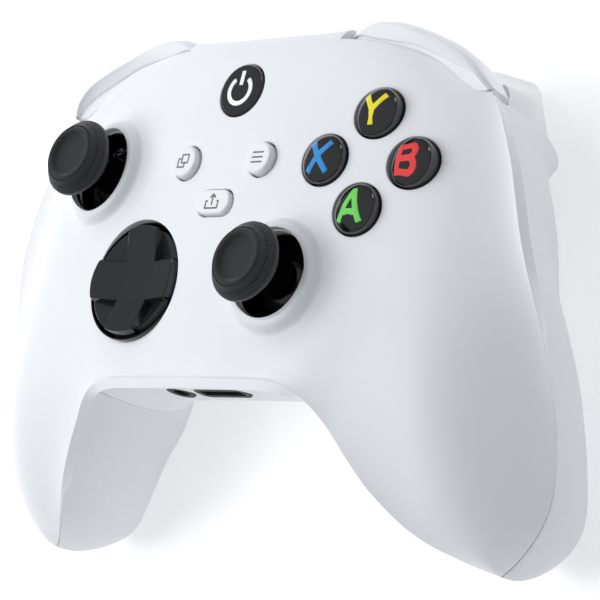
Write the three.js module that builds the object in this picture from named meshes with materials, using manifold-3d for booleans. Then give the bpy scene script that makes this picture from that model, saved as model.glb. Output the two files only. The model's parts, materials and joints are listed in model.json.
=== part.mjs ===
// A wireless two-handed game controller, lying face up on its battery door and its two grips.
// Millimetres, +Z up, +X to the player's right, +Y towards the bumpers and triggers.
// The body is drawn in a face frame: its origin is on the face, midway between the two small menu
// buttons, with +Z out of the face. The last lines tilt that frame to the way the controller lies.
import * as THREE from "three";
import { mergeVertices } from "three/addons/utils/BufferGeometryUtils.js";
import Module from "manifold-3d";

const wasm = await Module();
wasm.setup();

// ---- Driving dimensions, in millimetres and degrees ----
const WIDTH = 153; // across the two grips
const LENGTH = 103; // from the grip tips to the bumpers, along the face
const GRIP_DEPTH = 52.6; // from the face down to the lowest point of a grip
const REST_TILT = 10; // between the face and the table
const WALL = 2.2; // moulded shell thickness
const SEAM = 0.5; // between two fixed shells
const GAP = 0.35; // between a piece and what it touches
const STICK_HOLE_R = 9.1;
const STICK_CAP_R = 8.3;
const STICK_CAP_TOP = 10.6; // rim of the cap above the face
const STICK_CLICK = 0.6;
const DPAD_HOLE_R = 12.75;
const FACE_BUTTON_R = 5.2;
const FACE_BUTTON_SPACING = 10.1; // from the middle of the four buttons to each one
const FACE_BUTTON_TRAVEL = 1.2;
const FACE_BUTTON_PROUD = 2.2;
const SMALL_BUTTON_R = 3.45;
const SMALL_BUTTON_SPACING = 10.56; // from the centre line to the view and menu buttons
const SMALL_BUTTON_TRAVEL = 0.6;
const GUIDE_R = 5.6;
const RUN = 0.4; // clearance round a button or a cap that moves in a hole
const BUMPER_GAP = 1; // room for the bumper's travel
const BATTERY_R = 7.25; // AA cell
const BATTERY_LENGTH = 50.5;
const BOARD = 1.6; // printed circuit board thickness

const DEG = Math.PI / 180;
const HALF_WIDTH = WIDTH / 2;
const SIDES = [
  { side: 1, label: "right" },
  { side: -1, label: "left" },
];

// ---- Finishes ----
function finish(colour, roughness, metalness = 0) {
  return new THREE.MeshStandardMaterial({ color: colour, roughness, metalness });
}
const WHITE = finish(0xe9ebee, 0.55);
const WHITE_PANEL = finish(0xdfe2e6, 0.7);
const BLACK_GLOSS = finish(0x0b0c0e, 0.18);
const BLACK_MATTE = finish(0x1b1c1e, 0.75);
const RUBBER = finish(0x141416, 0.85);
const STEEL = finish(0xb8babd, 0.3, 1);
const GREEN_BOARD = finish(0x1f5a3a, 0.6);
const BATTERY_WRAP = finish(0x50555c, 0.4, 0.3);
const MEMBRANE = finish(0x9ea3a8, 0.8);
const LIGHT_GUIDE = finish(0xf4f5f2, 0.3);

const controller = new THREE.Group();

// ---- Solids and meshes ----
function solidOf(geometry) {
  const flat = geometry.index ? geometry.toNonIndexed() : geometry.clone();
  flat.deleteAttribute("normal");
  flat.deleteAttribute("uv");
  const merged = mergeVertices(flat, 1e-4);
  const mesh = new wasm.Mesh({
    numProp: 3,
    vertProperties: merged.attributes.position.array,
    triVerts: new Uint32Array(merged.index.array),
  });
  return new wasm.Manifold(mesh);
}

function geometryOf(solid) {
  const { numProp, numVert, vertProperties, triVerts } = solid.getMesh();
  const positions = new Float32Array(numVert * 3);
  for (let i = 0; i < numVert; i++) {
    positions.set(vertProperties.subarray(i * numProp, i * numProp + 3), i * 3);
  }
  const geometry = new THREE.BufferGeometry();
  geometry.setAttribute("position", new THREE.BufferAttribute(positions, 3));
  geometry.setIndex(new THREE.BufferAttribute(triVerts, 1));
  geometry.computeVertexNormals();
  return geometry;
}

// Adds a named mesh from a geometry or a solid, placed by an optional position and rotation.
function piece(name, shape, material, position, rotation) {
  const geometry = shape.isBufferGeometry ? shape : geometryOf(shape);
  const mesh = new THREE.Mesh(geometry, material);
  mesh.name = name;
  if (position) mesh.position.set(...position);
  if (rotation) mesh.rotation.set(...rotation);
  controller.add(mesh);
  return mesh;
}

function placed(geometry, position, rotation = [0, 0, 0]) {
  const turn = new THREE.Matrix4().makeRotationFromEuler(new THREE.Euler(...rotation));
  return geometry.applyMatrix4(turn).translate(...position);
}

const TO_Z = [Math.PI / 2, 0, 0]; // turns a piece made along Y so that it stands along Z
const TO_X = [0, 0, -Math.PI / 2]; // turns a piece made along Y so that it lies along X

function cylinder(radius, length, segments = 16) {
  return new THREE.CylinderGeometry(radius, radius, length, segments);
}

// A solid of revolution about Z from [radius, z] points that start and end on the axis.
function turned(profile, segments = 32) {
  const points = profile.map(([r, z]) => new THREE.Vector2(r, z));
  return new THREE.LatheGeometry(points, segments).rotateX(Math.PI / 2);
}

function box(x0, x1, y0, y1, z0, z1) {
  const geometry = new THREE.BoxGeometry(x1 - x0, y1 - y0, z1 - z0);
  return geometry.translate((x0 + x1) / 2, (y0 + y1) / 2, (z0 + z1) / 2);
}

function roundedRectangle(width, height, radius) {
  const shape = new THREE.Shape();
  const x = width / 2 - radius;
  const y = height / 2 - radius;
  shape.absarc(x, y, radius, 0, Math.PI / 2);
  shape.absarc(-x, y, radius, Math.PI / 2, Math.PI);
  shape.absarc(-x, -y, radius, Math.PI, 1.5 * Math.PI);
  shape.absarc(x, -y, radius, 1.5 * Math.PI, 2 * Math.PI);
  return shape;
}

function extruded(shape, depth, curveSegments = 4) {
  return new THREE.ExtrudeGeometry(shape, { depth, bevelEnabled: false, curveSegments });
}

// ---- The body's outline and surfaces ----
// Both edges are drawn on the right half of a body 153 wide and 103 long, from the centre line to
// the grip tip, and are stretched to the width and length. Points that match are joined by a rib.
const DRAWN_WIDTH = 153;
const DRAWN_LENGTH = 103;
const DRAWN_DEPTH = 52.6;
const OUTER_EDGE = [
  [-14, 29.4, -6.2], [0, 29.3, -6], [14, 29.4, -6.2], [29, 30.2, -8], [43.5, 26.4, -9.6],
  [56, 19, -10.6], [64.3, 5, -11.5], [70.6, -15, -15], [74.9, -33, -23.2], [76.5, -48, -29.4],
  [74.2, -61.5, -34.5], [63.2, -73, -38.3], [52, -76, -39],
];
const INNER_EDGE = [
  [-8, -44.9, -4.6], [0, -44.8, -4.5], [8, -44.9, -4.6], [16.5, -45, -4.6], [23, -45.3, -4.6],
  [28, -46.5, -5.4], [32, -48.8, -7.6], [35.6, -52.5, -10.6], [39.4, -57.6, -13.8],
  [44, -63.4, -18.4], [51.2, -69.6, -26.8], [63.2, -73, -38.3], [74, -74, -44],
];
const TIP_ROUNDING = 14; // how far from the tip a grip keeps its full thickness

const stretchX = WIDTH / DRAWN_WIDTH;
const stretchY = LENGTH / DRAWN_LENGTH;
const stretchZ = GRIP_DEPTH / DRAWN_DEPTH;

function edgeCurve(points) {
  return new THREE.CatmullRomCurve3(points.map(([x, y, z]) => new THREE.Vector3(x, y, z)));
}
const outerCurve = edgeCurve(OUTER_EDGE);
const innerCurve = edgeCurve(INNER_EDGE);

// The first and last points only steer the curve, so the body runs over the spans between them.
function edgePoint(curve, share) {
  const spans = OUTER_EDGE.length - 1;
  return curve.getPoint((1 + share * (spans - 2)) / spans);
}

function smooth(low, high, value) {
  return THREE.MathUtils.smoothstep(value, low, high);
}

// Height of the face over a point of the drawn body: a crown that bends down into the grips.
function drawnFace(x, y) {
  const crown = 0.00166 * x ** 2 + 2.4e-7 * x ** 4 + 1.8e-5 * x ** 2 * y + 0.00188 * (y - 8.5) ** 2;
  const bend = 0.011 * Math.max(0, -y - 40) ** 2;
  const shoulder = 0.016 * Math.max(0, Math.abs(x) - 54) ** 2;
  return 0.14 - crown - bend - shoulder;
}

// Height of the plane that the controller lies on, in the face frame.
const restSlope = Math.tan(REST_TILT * DEG);
const REST_POINT_Y = -50 * stretchY; // the grips touch the table under this line
function restPlane(y) {
  return -GRIP_DEPTH + restSlope * (y - REST_POINT_Y);
}

// How far the back of the drawn body stands off the rest plane: nothing under the battery door and
// under the grips, and a hollow for the fingers between them.
const BACK_LIFT = 15;
const RIDGE = { x: 41.4, y: 17, slope: -0.306, width: 7, share: 0.73 }; // under the triggers' roots
function drawnLift(x, y) {
  const across = 1 - smooth(28, 42, Math.abs(x));
  const along = smooth(-44, -20, y) * (1 - smooth(17, 36, y));
  const bulge = across * along;
  const gripAcross = smooth(24, 48, Math.abs(x));
  const gripAlong = 1 - smooth(-40, 26, y);
  const grip = gripAcross * gripAlong;
  const offRidge = (y - RIDGE.y - RIDGE.slope * (Math.abs(x) - RIDGE.x)) / RIDGE.width;
  const ridge = RIDGE.share * Math.exp(-(offRidge ** 2)) * (1 - smooth(55, 66, Math.abs(x)));
  return BACK_LIFT * (1 - Math.max(bulge, grip, ridge));
}

function faceHeight(x, y) {
  return stretchZ * drawnFace(x / stretchX, y / stretchY);
}
function backHeight(x, y) {
  return restPlane(y) + stretchZ * drawnLift(x / stretchX, y / stretchY);
}

// How square the back's edge is: high values hold the wall upright, low ones round it.
function backPower(reach, across) {
  const side = across > 0 ? THREE.MathUtils.lerp(20, 2.3, smooth(0.44, 0.6, reach)) : 9;
  const grip = across > 0 ? 2.3 + 0.7 * smooth(0.72, 0.95, reach) : 2.5;
  return THREE.MathUtils.lerp(side, grip, smooth(0.3, 0.7, reach));
}

const RIB_SPAN = 0.965; // share of the ribs that an inset surface covers
const RIB_CLOSING = 0.06; // share of the ribs over which an inset surface closes at the tip

// One point of the body: share runs along the ribs from the left tip (-1) to the right tip (1),
// across runs over a rib from its inner end (-1) to its outer end (1), and front picks the face or
// the back. inset moves the surface inwards, and lift moves the parting line.
function bodyPoint(share, across, front, inset, lift) {
  const side = Math.sign(share) || 1;
  const reach = Math.min(1, Math.abs(share)) * (inset > 0 ? RIB_SPAN : 1);
  const outer = edgePoint(outerCurve, reach);
  const inner = edgePoint(innerCurve, reach);
  const stretch = new THREE.Vector3(stretchX, stretchY, stretchZ);
  outer.multiply(stretch);
  inner.multiply(stretch);
  const half = outer.clone().sub(inner).multiplyScalar(0.5);
  const middle = inner.clone().add(half);
  const halfLength = Math.hypot(half.x, half.y);
  const closing = inset > 0 ? Math.sqrt(Math.min(1, (1 - Math.abs(share)) / RIB_CLOSING)) : 1;
  const kept = halfLength > 0 ? Math.max(0, 1 - inset / halfLength) * closing : 0;
  const point = middle.clone().addScaledVector(half, across * kept);
  const tip = edgePoint(outerCurve, 1).multiply(stretch);
  const toTip = Math.hypot(tip.x - middle.x, tip.y - middle.y);
  const rounding = Math.min(1, toTip / TIP_ROUNDING);
  const end = Math.sqrt(1 - (1 - rounding) ** 2) * closing;
  const softness = smooth(0.14, 0.56, reach);
  const power = front ? THREE.MathUtils.lerp(9, 1.9, softness) : backPower(reach, across);
  const roll = front ? THREE.MathUtils.lerp(0.5, 0.85, softness) : 0.5;
  const fall = Math.max(0, 1 - Math.abs(across) ** power) ** roll * end;
  const sheet = front ? faceHeight(point.x, point.y) - inset : backHeight(point.x, point.y) + inset;
  const parting = point.z + lift;
  return [side * point.x, point.y, parting + (sheet - parting) * fall];
}

const RIBS = 32; // stations from tip to tip
const RIB_STEPS = 10; // steps over a rib

function stationShare(i) {
  return Math.sin(((i / RIBS) * 2 - 1) * 0.5 * Math.PI * 0.82) / Math.sin(0.5 * Math.PI * 0.82);
}
function stationAcross(j) {
  return Math.sin(((j / RIB_STEPS) * 2 - 1) * 0.5 * Math.PI);
}

// A grid of points over the face or the back, rows from tip to tip.
function bodyGrid(front, inset, lift) {
  const rows = [];
  for (let i = 0; i <= RIBS; i++) {
    const row = [];
    for (let j = 0; j <= RIB_STEPS; j++) {
      row.push(bodyPoint(stationShare(i), stationAcross(j), front, inset, lift));
    }
    rows.push(row);
  }
  return rows;
}

function stitched(grids) {
  const positions = [];
  const triangle = (a, b, c) => positions.push(...a, ...b, ...c);
  for (const { rows, flip } of grids) {
    for (let i = 0; i + 1 < rows.length; i++) {
      for (let j = 0; j + 1 < rows[i].length; j++) {
        const corners = [rows[i][j], rows[i + 1][j], rows[i + 1][j + 1], rows[i][j + 1]];
        const [a, b, c, d] = flip ? corners.reverse() : corners;
        triangle(a, b, c);
        triangle(a, c, d);
      }
    }
  }
  const geometry = new THREE.BufferGeometry();
  geometry.setAttribute("position", new THREE.Float32BufferAttribute(positions, 3));
  return geometry;
}

// The whole body as one closed solid, moved inwards by inset.
function bodySolid(inset) {
  const face = bodyGrid(true, inset, 0);
  const back = bodyGrid(false, inset, 0);
  return solidOf(stitched([{ rows: face, flip: false }, { rows: back, flip: true }]));
}

// The moulded shell in front of the parting line, or behind it.
function halfShell(front) {
  const lift = front ? SEAM / 2 : -SEAM / 2;
  const skin = bodyGrid(front, 0, lift);
  const lining = bodyGrid(front, WALL, lift);
  const rim = [0, RIB_STEPS].map((j) => skin.map((row, i) => [row[j], lining[i][j]]));
  return solidOf(
    stitched([
      { rows: skin, flip: !front },
      { rows: lining, flip: front },
      { rows: rim[0], flip: front },
      { rows: rim[1], flip: !front },
    ]),
  );
}

// ---- Where things sit on the face ----
// A place on the drawn body, moved with the body's stretch, at the height of the face there.
function spot(x, y) {
  const place = { x: x * stretchX, y: y * stretchY };
  return { ...place, z: faceHeight(place.x, place.y) };
}
function onFace(x, y) {
  return { x, y, z: faceHeight(x, y) };
}
const STICKS = { left: spot(-36.9, -0.3), right: spot(20.1, -24.5) };
const DPAD = spot(-20.1, -24.5);
const BUTTON_CENTRE = spot(36.9, -0.3);
const FACE_BUTTONS = {
  a: onFace(BUTTON_CENTRE.x, BUTTON_CENTRE.y - FACE_BUTTON_SPACING),
  b: onFace(BUTTON_CENTRE.x + FACE_BUTTON_SPACING, BUTTON_CENTRE.y),
  x: onFace(BUTTON_CENTRE.x - FACE_BUTTON_SPACING, BUTTON_CENTRE.y),
  y: onFace(BUTTON_CENTRE.x, BUTTON_CENTRE.y + FACE_BUTTON_SPACING),
};
const SMALL_BUTTONS = {
  view: onFace(-SMALL_BUTTON_SPACING, 0),
  menu: onFace(SMALL_BUTTON_SPACING, 0),
};
const GUIDE = spot(0, 15.6);
const SHARE = spot(0, -8.9);
const SHARE_WIDTH = 9.4;
const SHARE_HEIGHT = 5.2;
const SHARE_CORNER = 2.4;

// ---- Regions that split the body ----
const SPLIT_Z = -17.3 * stretchZ; // lower edge of the bumpers and of the bridge between them
const BRIDGE_HALF = 20.8 * stretchX;
const BRIDGE_Y = 26.7 * stretchY;
const BRIDGE_TOP = -5.4 * stretchZ;
const BUMPER_SEAM = [
  [21.4, 27.6], [28, 27.1], [33, 26.4], [39, 25.2], [43.5, 23.7], [49, 21.4], [53.5, 19.4],
  [57.2, 17.6], [60.5, 15.4],
];
const BUMPER_END_SLOPE = 0.5; // how much a bumper's inner end leans outwards
const TRIGGER_X0 = 27.3 * stretchX;
const TRIGGER_X1 = 55.5 * stretchX;

// The room of one bumper, made larger by margin on the sides that meet the shells.
function bumperRegion(side, margin) {
  const shape = new THREE.Shape();
  const seam = BUMPER_SEAM.map(([x, y]) => [x * stretchX, y * stretchY - margin]);
  const [first] = seam;
  const last = seam[seam.length - 1];
  const beyond = 60 * stretchY;
  const innerEnd = (y) => first[0] + BUMPER_END_SLOPE * (y - first[1] - margin) - margin * 0.7;
  shape.moveTo(innerEnd(first[1]), first[1]);
  seam.slice(1).forEach(([x, y]) => shape.lineTo(x, y));
  shape.lineTo(last[0] + 14, last[1]);
  shape.lineTo(last[0] + 14, beyond);
  shape.lineTo(innerEnd(beyond), beyond);
  const geometry = extruded(shape, 30 - SPLIT_Z + margin);
  geometry.translate(0, 0, SPLIT_Z - margin);
  return side > 0 ? geometry : mirrored(geometry);
}

function mirrored(geometry) {
  const flipped = geometry.index ? geometry.toNonIndexed() : geometry.clone();
  flipped.scale(-1, 1, 1);
  const array = flipped.attributes.position.array;
  for (let i = 0; i < array.length; i += 9) {
    for (let k = 0; k < 3; k++) {
      [array[i + 3 + k], array[i + 6 + k]] = [array[i + 6 + k], array[i + 3 + k]];
    }
  }
  flipped.deleteAttribute("normal");
  flipped.deleteAttribute("uv");
  return flipped;
}

function bridgeRegion(margin) {
  const half = BRIDGE_HALF + margin;
  const top = BRIDGE_TOP + margin;
  return box(-half, half, BRIDGE_Y - margin, 60 * stretchY, SPLIT_Z - margin, top);
}

// ---- Tools that work on solids ----
function joined(...geometries) {
  return geometries.map(asSolid).reduce((sum, next) => sum.add(next));
}
function cut(shape, ...geometries) {
  return geometries.map(asSolid).reduce((rest, next) => rest.subtract(next), asSolid(shape));
}
function asSolid(shape) {
  return shape.isBufferGeometry ? solidOf(shape) : shape;
}

function hole(place, radius, segments = 24) {
  return placed(cylinder(radius, 30, segments), [place.x, place.y, place.z], TO_Z);
}

// ---- Front shell ----
const COLLAR_LIP = 2.8; // height of a stick's collar above the face
const COLLAR_FOOT_R = 17;
const COLLAR_FOOT = -4;
function stickCollar(place) {
  const profile = [
    [STICK_HOLE_R - 0.6, COLLAR_FOOT], [COLLAR_FOOT_R, COLLAR_FOOT], [14.6, -1.6], [12.4, 0.3],
    [11, 1.6], [10.1, COLLAR_LIP - 0.3], [STICK_HOLE_R + 0.5, COLLAR_LIP], [STICK_HOLE_R - 0.6, 2.3],
    [STICK_HOLE_R - 0.6, COLLAR_FOOT],
  ];
  return turned(profile, 24).translate(place.x, place.y, place.z);
}

const BOSS_R = 3.2;
const SCREW_R = 1.3;
const SCREW_HEAD_R = 2.4;
const SCREW_LENGTH = 9;
const BOSS_LENGTH = 11;
const SCREW_SPOTS = SIDES.flatMap(({ side, label }) => [
  { ...spot(side * 61, -14), name: "screw_upper_" + label },
  { ...spot(side * 48, -48), name: "screw_lower_" + label },
]);

// A tube that hangs from the inside of the face and takes a screw from behind.
function boss(place) {
  const top = place.z - WALL;
  const bottom = place.z - WALL - BOSS_LENGTH;
  const tube = placed(cylinder(BOSS_R, top - bottom), [place.x, place.y, (top + bottom) / 2], TO_Z);
  const bore = cylinder(SCREW_R + GAP, BOSS_LENGTH);
  return cut(tube, placed(bore, [place.x, place.y, bottom + BOSS_LENGTH / 2 - 1], TO_Z));
}

const faceButtonHoles = Object.values(FACE_BUTTONS).map((p) => hole(p, FACE_BUTTON_R + RUN, 16));
const smallButtonHoles = Object.values(SMALL_BUTTONS).map((p) => hole(p, SMALL_BUTTON_R + RUN, 14));
const shareHole = extruded(
  roundedRectangle(SHARE_WIDTH + 2 * RUN, SHARE_HEIGHT + 2 * RUN, SHARE_CORNER + RUN),
  30,
).translate(SHARE.x, SHARE.y, SHARE.z - 15);
const topCuts = [
  ...SIDES.map(({ side }) => bumperRegion(side, BUMPER_GAP)),
  bridgeRegion(SEAM),
];

const frontWithCollars = joined(
  halfShell(true),
  ...Object.values(STICKS).map(stickCollar),
  ...SCREW_SPOTS.map(boss),
);
const frontShell = cut(
  frontWithCollars,
  ...Object.values(STICKS).map((p) => hole(p, STICK_HOLE_R)),
  hole(DPAD, DPAD_HOLE_R),
  hole(GUIDE, GUIDE_R + RUN),
  ...faceButtonHoles,
  ...smallButtonHoles,
  shareHole,
  ...topCuts,
);
piece("front_shell", frontShell, WHITE);

// ---- Bumpers and the bridge between them ----
const BUMPER_PROUD = 2.2; // how far the bumpers stand out past the body's outline
const lining = bodySolid(WALL);
const USB = { width: 9, height: 3.3, depth: 6.5, z: -11.5 * stretchZ };
const usbMouth = placed(
  extruded(roundedRectangle(USB.width + 1, USB.height + 1, USB.height / 2 + 0.4), 30),
  [0, 45 * stretchY, USB.z],
  [Math.PI / 2, 0, 0],
);
const PAIR_BUTTON = { x: -14.5 * stretchX, z: USB.z, radius: 1.9 };
const pairHole = placed(
  cylinder(PAIR_BUTTON.radius + GAP, 30),
  [PAIR_BUTTON.x, 30 * stretchY, PAIR_BUTTON.z],
);
const bridge = cut(bodySolid(0).intersect(asSolid(bridgeRegion(0))), lining, usbMouth, pairHole);
piece("top_bridge", bridge, WHITE);

const proudBody = bodySolid(-BUMPER_PROUD);
for (const { side, label } of SIDES) {
  const bumper = cut(proudBody.intersect(asSolid(bumperRegion(side, 0))), lining);
  piece("bumper_" + label, bumper, WHITE);
}

// ---- Rear shell, grip panels and the trigger openings ----
const GRIP_SEAM = [[28.5, -90], [29.5, -45], [43, -21], [50, -4], [53.5, 11.9]];
function gripRegion(side, margin) {
  const shape = new THREE.Shape();
  const seam = GRIP_SEAM.map(([x, y]) => [x * stretchX - margin, y * stretchY]);
  const top = seam[seam.length - 1][1] + margin;
  shape.moveTo(...seam[0]);
  seam.slice(1, -1).forEach(([x, y]) => shape.lineTo(x, y));
  shape.lineTo(seam[seam.length - 1][0], top);
  shape.lineTo(100 * stretchX, top);
  shape.lineTo(100 * stretchX, seam[0][1]);
  const geometry = extruded(shape, 120).translate(0, 0, -100);
  return side > 0 ? geometry : mirrored(geometry);
}

const DRAWN_SLANT = Math.tan(-17 * DEG); // as the bumpers slant
const TRIGGER_SLOPE = (DRAWN_SLANT * stretchY) / stretchX;
const TRIGGER_SLANT = Math.atan(TRIGGER_SLOPE);
const TRIGGER_ROOM = 0.7;
const HINGE = { y: 21, z: -21.5 }; // of the drawn body, midway along a trigger
const TRIGGER_TAIL = 2.6; // from the hinge back to the end of the trigger's arm
const triggerMiddle = (TRIGGER_X0 + TRIGGER_X1) / 2;
const hingeY = HINGE.y * stretchY;
const hingeZ = HINGE.z * stretchZ;
function triggerOpening(side) {
  const shape = new THREE.Shape();
  const x0 = TRIGGER_X0 - TRIGGER_ROOM;
  const x1 = TRIGGER_X1 + TRIGGER_ROOM;
  const root = hingeY - TRIGGER_TAIL * stretchY - 2 * TRIGGER_ROOM;
  const edge = (x) => root + TRIGGER_SLOPE * (x - triggerMiddle);
  shape.moveTo(x0, edge(x0));
  shape.lineTo(x1, edge(x1));
  shape.lineTo(x1, 60 * stretchY);
  shape.lineTo(x0, 60 * stretchY);
  const geometry = extruded(shape, 60 + SPLIT_Z).translate(0, 0, -60);
  return side > 0 ? geometry : mirrored(geometry);
}

// ---- Battery bay, drawn on the plane that the controller lies on ----
const DOOR_THICKNESS = 2;
const BAY_WALL = 1.4;
const CELL_GAP = 0.5;
const CONTACT = 0.5;
const BAY_LENGTH = BATTERY_LENGTH + 2 * (CONTACT + 2 * CELL_GAP);
const BAY_WIDTH = 4 * BATTERY_R + 3 * CELL_GAP;
const BAY_Y = -2.5 * stretchY;
const DOOR_MARGIN = 1.2;
const DOOR_CORNER = 5;
const BAY_FLOOR = DOOR_THICKNESS + CELL_GAP; // height of the cells over the table

// Moves a geometry from the table plane under the bay into the face frame.
function overTable(geometry) {
  return placed(geometry, [0, BAY_Y, restPlane(BAY_Y)], [REST_TILT * DEG, 0, 0]);
}
function doorOutline(margin) {
  const width = BAY_LENGTH + 2 * (DOOR_MARGIN + margin);
  return roundedRectangle(width, BAY_WIDTH + 2 * (DOOR_MARGIN + margin), DOOR_CORNER + margin);
}

const rearCut = [
  ...topCuts,
  ...SIDES.map(({ side }) => triggerOpening(side)),
  overTable(extruded(doorOutline(SEAM), 14).translate(0, 0, -2)),
];
const rearHalf = halfShell(false);
const JACK = { x: -12 * stretchX, radius: 3.1, bore: 1.75, depth: 9.6, z: -15.4 * stretchZ };
const EXPANSION = { width: 14.5, height: 5, slot: 3, depth: 9, z: -15.4 * stretchZ };
const EXPANSION_WALL = 1.2;
const CHIN_INSET = 0.3; // how far the sockets sit behind the edge between the grips
const chinY = -44.8 * stretchY;
const jackMouth = placed(cylinder(JACK.radius + GAP, 12), [JACK.x, chinY, JACK.z]);
const expansionMouth = box(
  -EXPANSION.width / 2 - GAP, EXPANSION.width / 2 + GAP, chinY - 6, chinY + 6,
  EXPANSION.z - EXPANSION.height / 2 - GAP, EXPANSION.z + EXPANSION.height / 2 + GAP,
);
const rearShell = cut(
  rearHalf,
  ...rearCut,
  ...SIDES.map(({ side }) => gripRegion(side, SEAM)),
  jackMouth,
  expansionMouth,
);
piece("rear_shell", rearShell, WHITE);
for (const { side, label } of SIDES) {
  const panel = rearHalf.intersect(asSolid(gripRegion(side, 0)));
  piece("grip_panel_" + label, panel, WHITE_PANEL);
}

piece("battery_door", overTable(extruded(doorOutline(0), DOOR_THICKNESS)), WHITE);
const trayTop = BAY_FLOOR + 2 * BATTERY_R + CELL_GAP + BAY_WALL;
const trayBottom = DOOR_THICKNESS + WALL + 1;
const tray = cut(
  box(
    -BAY_LENGTH / 2 - BAY_WALL, BAY_LENGTH / 2 + BAY_WALL,
    -BAY_WIDTH / 2 - BAY_WALL, BAY_WIDTH / 2 + BAY_WALL, trayBottom, trayTop,
  ),
  box(-BAY_LENGTH / 2, BAY_LENGTH / 2, -BAY_WIDTH / 2, BAY_WIDTH / 2, 0, trayTop - BAY_WALL),
);
piece("battery_tray", overTable(geometryOf(tray)), BLACK_MATTE);
for (const { side, label } of SIDES) {
  const y = side * (BATTERY_R + CELL_GAP / 2);
  const z = BAY_FLOOR + BATTERY_R;
  const nub = placed(cylinder(2.6, 1.2, 16), [side * (BATTERY_LENGTH / 2), y, z], TO_X);
  const can = placed(cylinder(BATTERY_R, BATTERY_LENGTH - 1.2, 20), [0, y, z], TO_X);
  const cellName = side > 0 ? "battery_upper" : "battery_lower";
  piece(cellName, overTable(geometryOf(joined(can, nub))), BATTERY_WRAP);
  const x = side * (BAY_LENGTH / 2 - CONTACT / 2 - CELL_GAP / 2);
  const contact = box(
    x - CONTACT / 2, x + CONTACT / 2, -BAY_WIDTH / 2 + 1, BAY_WIDTH / 2 - 1, z - 5, z + 5,
  );
  piece("battery_contact_" + label, overTable(contact), STEEL);
}

// ---- Triggers ----
const SHAFT_R = 1.2;

// The trigger's side view, from the hinge out over the top and down to the flared tip.
function triggerProfile() {
  const shape = new THREE.Shape();
  const at = (y, z) => [(y - HINGE.y) * stretchY, (z - HINGE.z) * stretchZ];
  shape.moveTo(...at(HINGE.y - TRIGGER_TAIL, -18.6));
  shape.lineTo(...at(25, -18));
  shape.splineThru([at(26.2, -20.4), at(27, -25), at(28.4, -30), at(31, -35.4)].map(vector2));
  shape.splineThru([at(30, -36.2), at(27.4, -35), at(24.6, -31.6), at(22.4, -27.4)].map(vector2));
  shape.lineTo(...at(HINGE.y - TRIGGER_TAIL, -24.4));
  return shape;
}
// The trigger seen from the front: square shoulders, and sides that draw in to the tip.
function triggerFront(side) {
  const shape = new THREE.Shape();
  const inner = TRIGGER_X0 + TRIGGER_ROOM;
  const outer = TRIGGER_X1 - TRIGGER_ROOM;
  const outline = [
    [outer, -17], [outer, -25], [outer - 2.6, -29.6], [outer - 7, -34], [outer - 9, -40],
    [inner + 7, -40], [inner + 4.6, -34], [inner + 1.2, -28], [inner, -24],
  ];
  shape.moveTo(inner, -17);
  outline.forEach(([x, z]) => shape.lineTo(x, z));
  const geometry = placed(extruded(shape, 80), [0, 70, 0], [Math.PI / 2, 0, 0]);
  return side > 0 ? geometry : mirrored(geometry);
}
function vector2([x, y]) {
  return new THREE.Vector2(x, y);
}

for (const { side, label } of SIDES) {
  const length = TRIGGER_X1 - TRIGGER_X0 + 12;
  const blade = extruded(triggerProfile(), length, 2);
  blade.applyMatrix4(new THREE.Matrix4().makeBasis(
    new THREE.Vector3(0, 1, 0), new THREE.Vector3(0, 0, 1), new THREE.Vector3(1, 0, 0),
  ));
  blade.translate(-length / 2, 0, 0);
  const bore = placed(cylinder(SHAFT_R + GAP, length + 4), [0, 0, 0], TO_X);
  const springRoom = placed(cylinder(3.9, 6.6), [0, 0, 0], TO_X);
  const turn = [0, 0, side * TRIGGER_SLANT];
  const middle = [side * triggerMiddle, hingeY, hingeZ];
  const trigger = asSolid(placed(geometryOf(cut(blade, bore, springRoom)), middle, turn));
  piece("trigger_" + label, trigger.intersect(asSolid(triggerFront(side))), WHITE);
  const shaft = placed(cylinder(SHAFT_R, length - 14), [0, 0, 0], TO_X);
  piece("trigger_shaft_" + label, placed(shaft, middle, turn), STEEL);
  const coil = cut(placed(cylinder(3.1, 5.4), [0, 0, 0], TO_X), placed(cylinder(1.9, 8), [0, 0, 0], TO_X));
  piece("trigger_spring_" + label, placed(geometryOf(coil), middle, turn), STEEL);
}

// ---- Buttons on the face ----
const LINING_DROP = 2.4; // from the lining down to a button's flange
const FLANGE = 1;
const MEMBRANE_TOP = -12.4 * stretchZ;
for (const [letter, place] of Object.entries(FACE_BUTTONS)) {
  const flangeTop = place.z - WALL - LINING_DROP;
  const post = MEMBRANE_TOP + FACE_BUTTON_TRAVEL + GAP;
  const rim = place.z + FACE_BUTTON_PROUD;
  const profile = [
    [0, post], [2.4, post], [2.4, flangeTop - FLANGE], [FACE_BUTTON_R + 1.2, flangeTop - FLANGE],
    [FACE_BUTTON_R + 1.2, flangeTop], [FACE_BUTTON_R, flangeTop], [FACE_BUTTON_R, rim - 1.6],
    [FACE_BUTTON_R * 0.86, rim - 0.6], [FACE_BUTTON_R * 0.5, rim - 0.1], [0, rim],
  ];
  piece("button_" + letter, turned(profile, 16), BLACK_GLOSS, [place.x, place.y, 0]);
}
const membraneHalf = FACE_BUTTON_SPACING + 4.6;
const membrane = box(
  BUTTON_CENTRE.x - membraneHalf, BUTTON_CENTRE.x + membraneHalf,
  BUTTON_CENTRE.y - membraneHalf, BUTTON_CENTRE.y + membraneHalf, MEMBRANE_TOP - 1.6, MEMBRANE_TOP,
);
piece("button_membrane", membrane, MEMBRANE);

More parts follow.
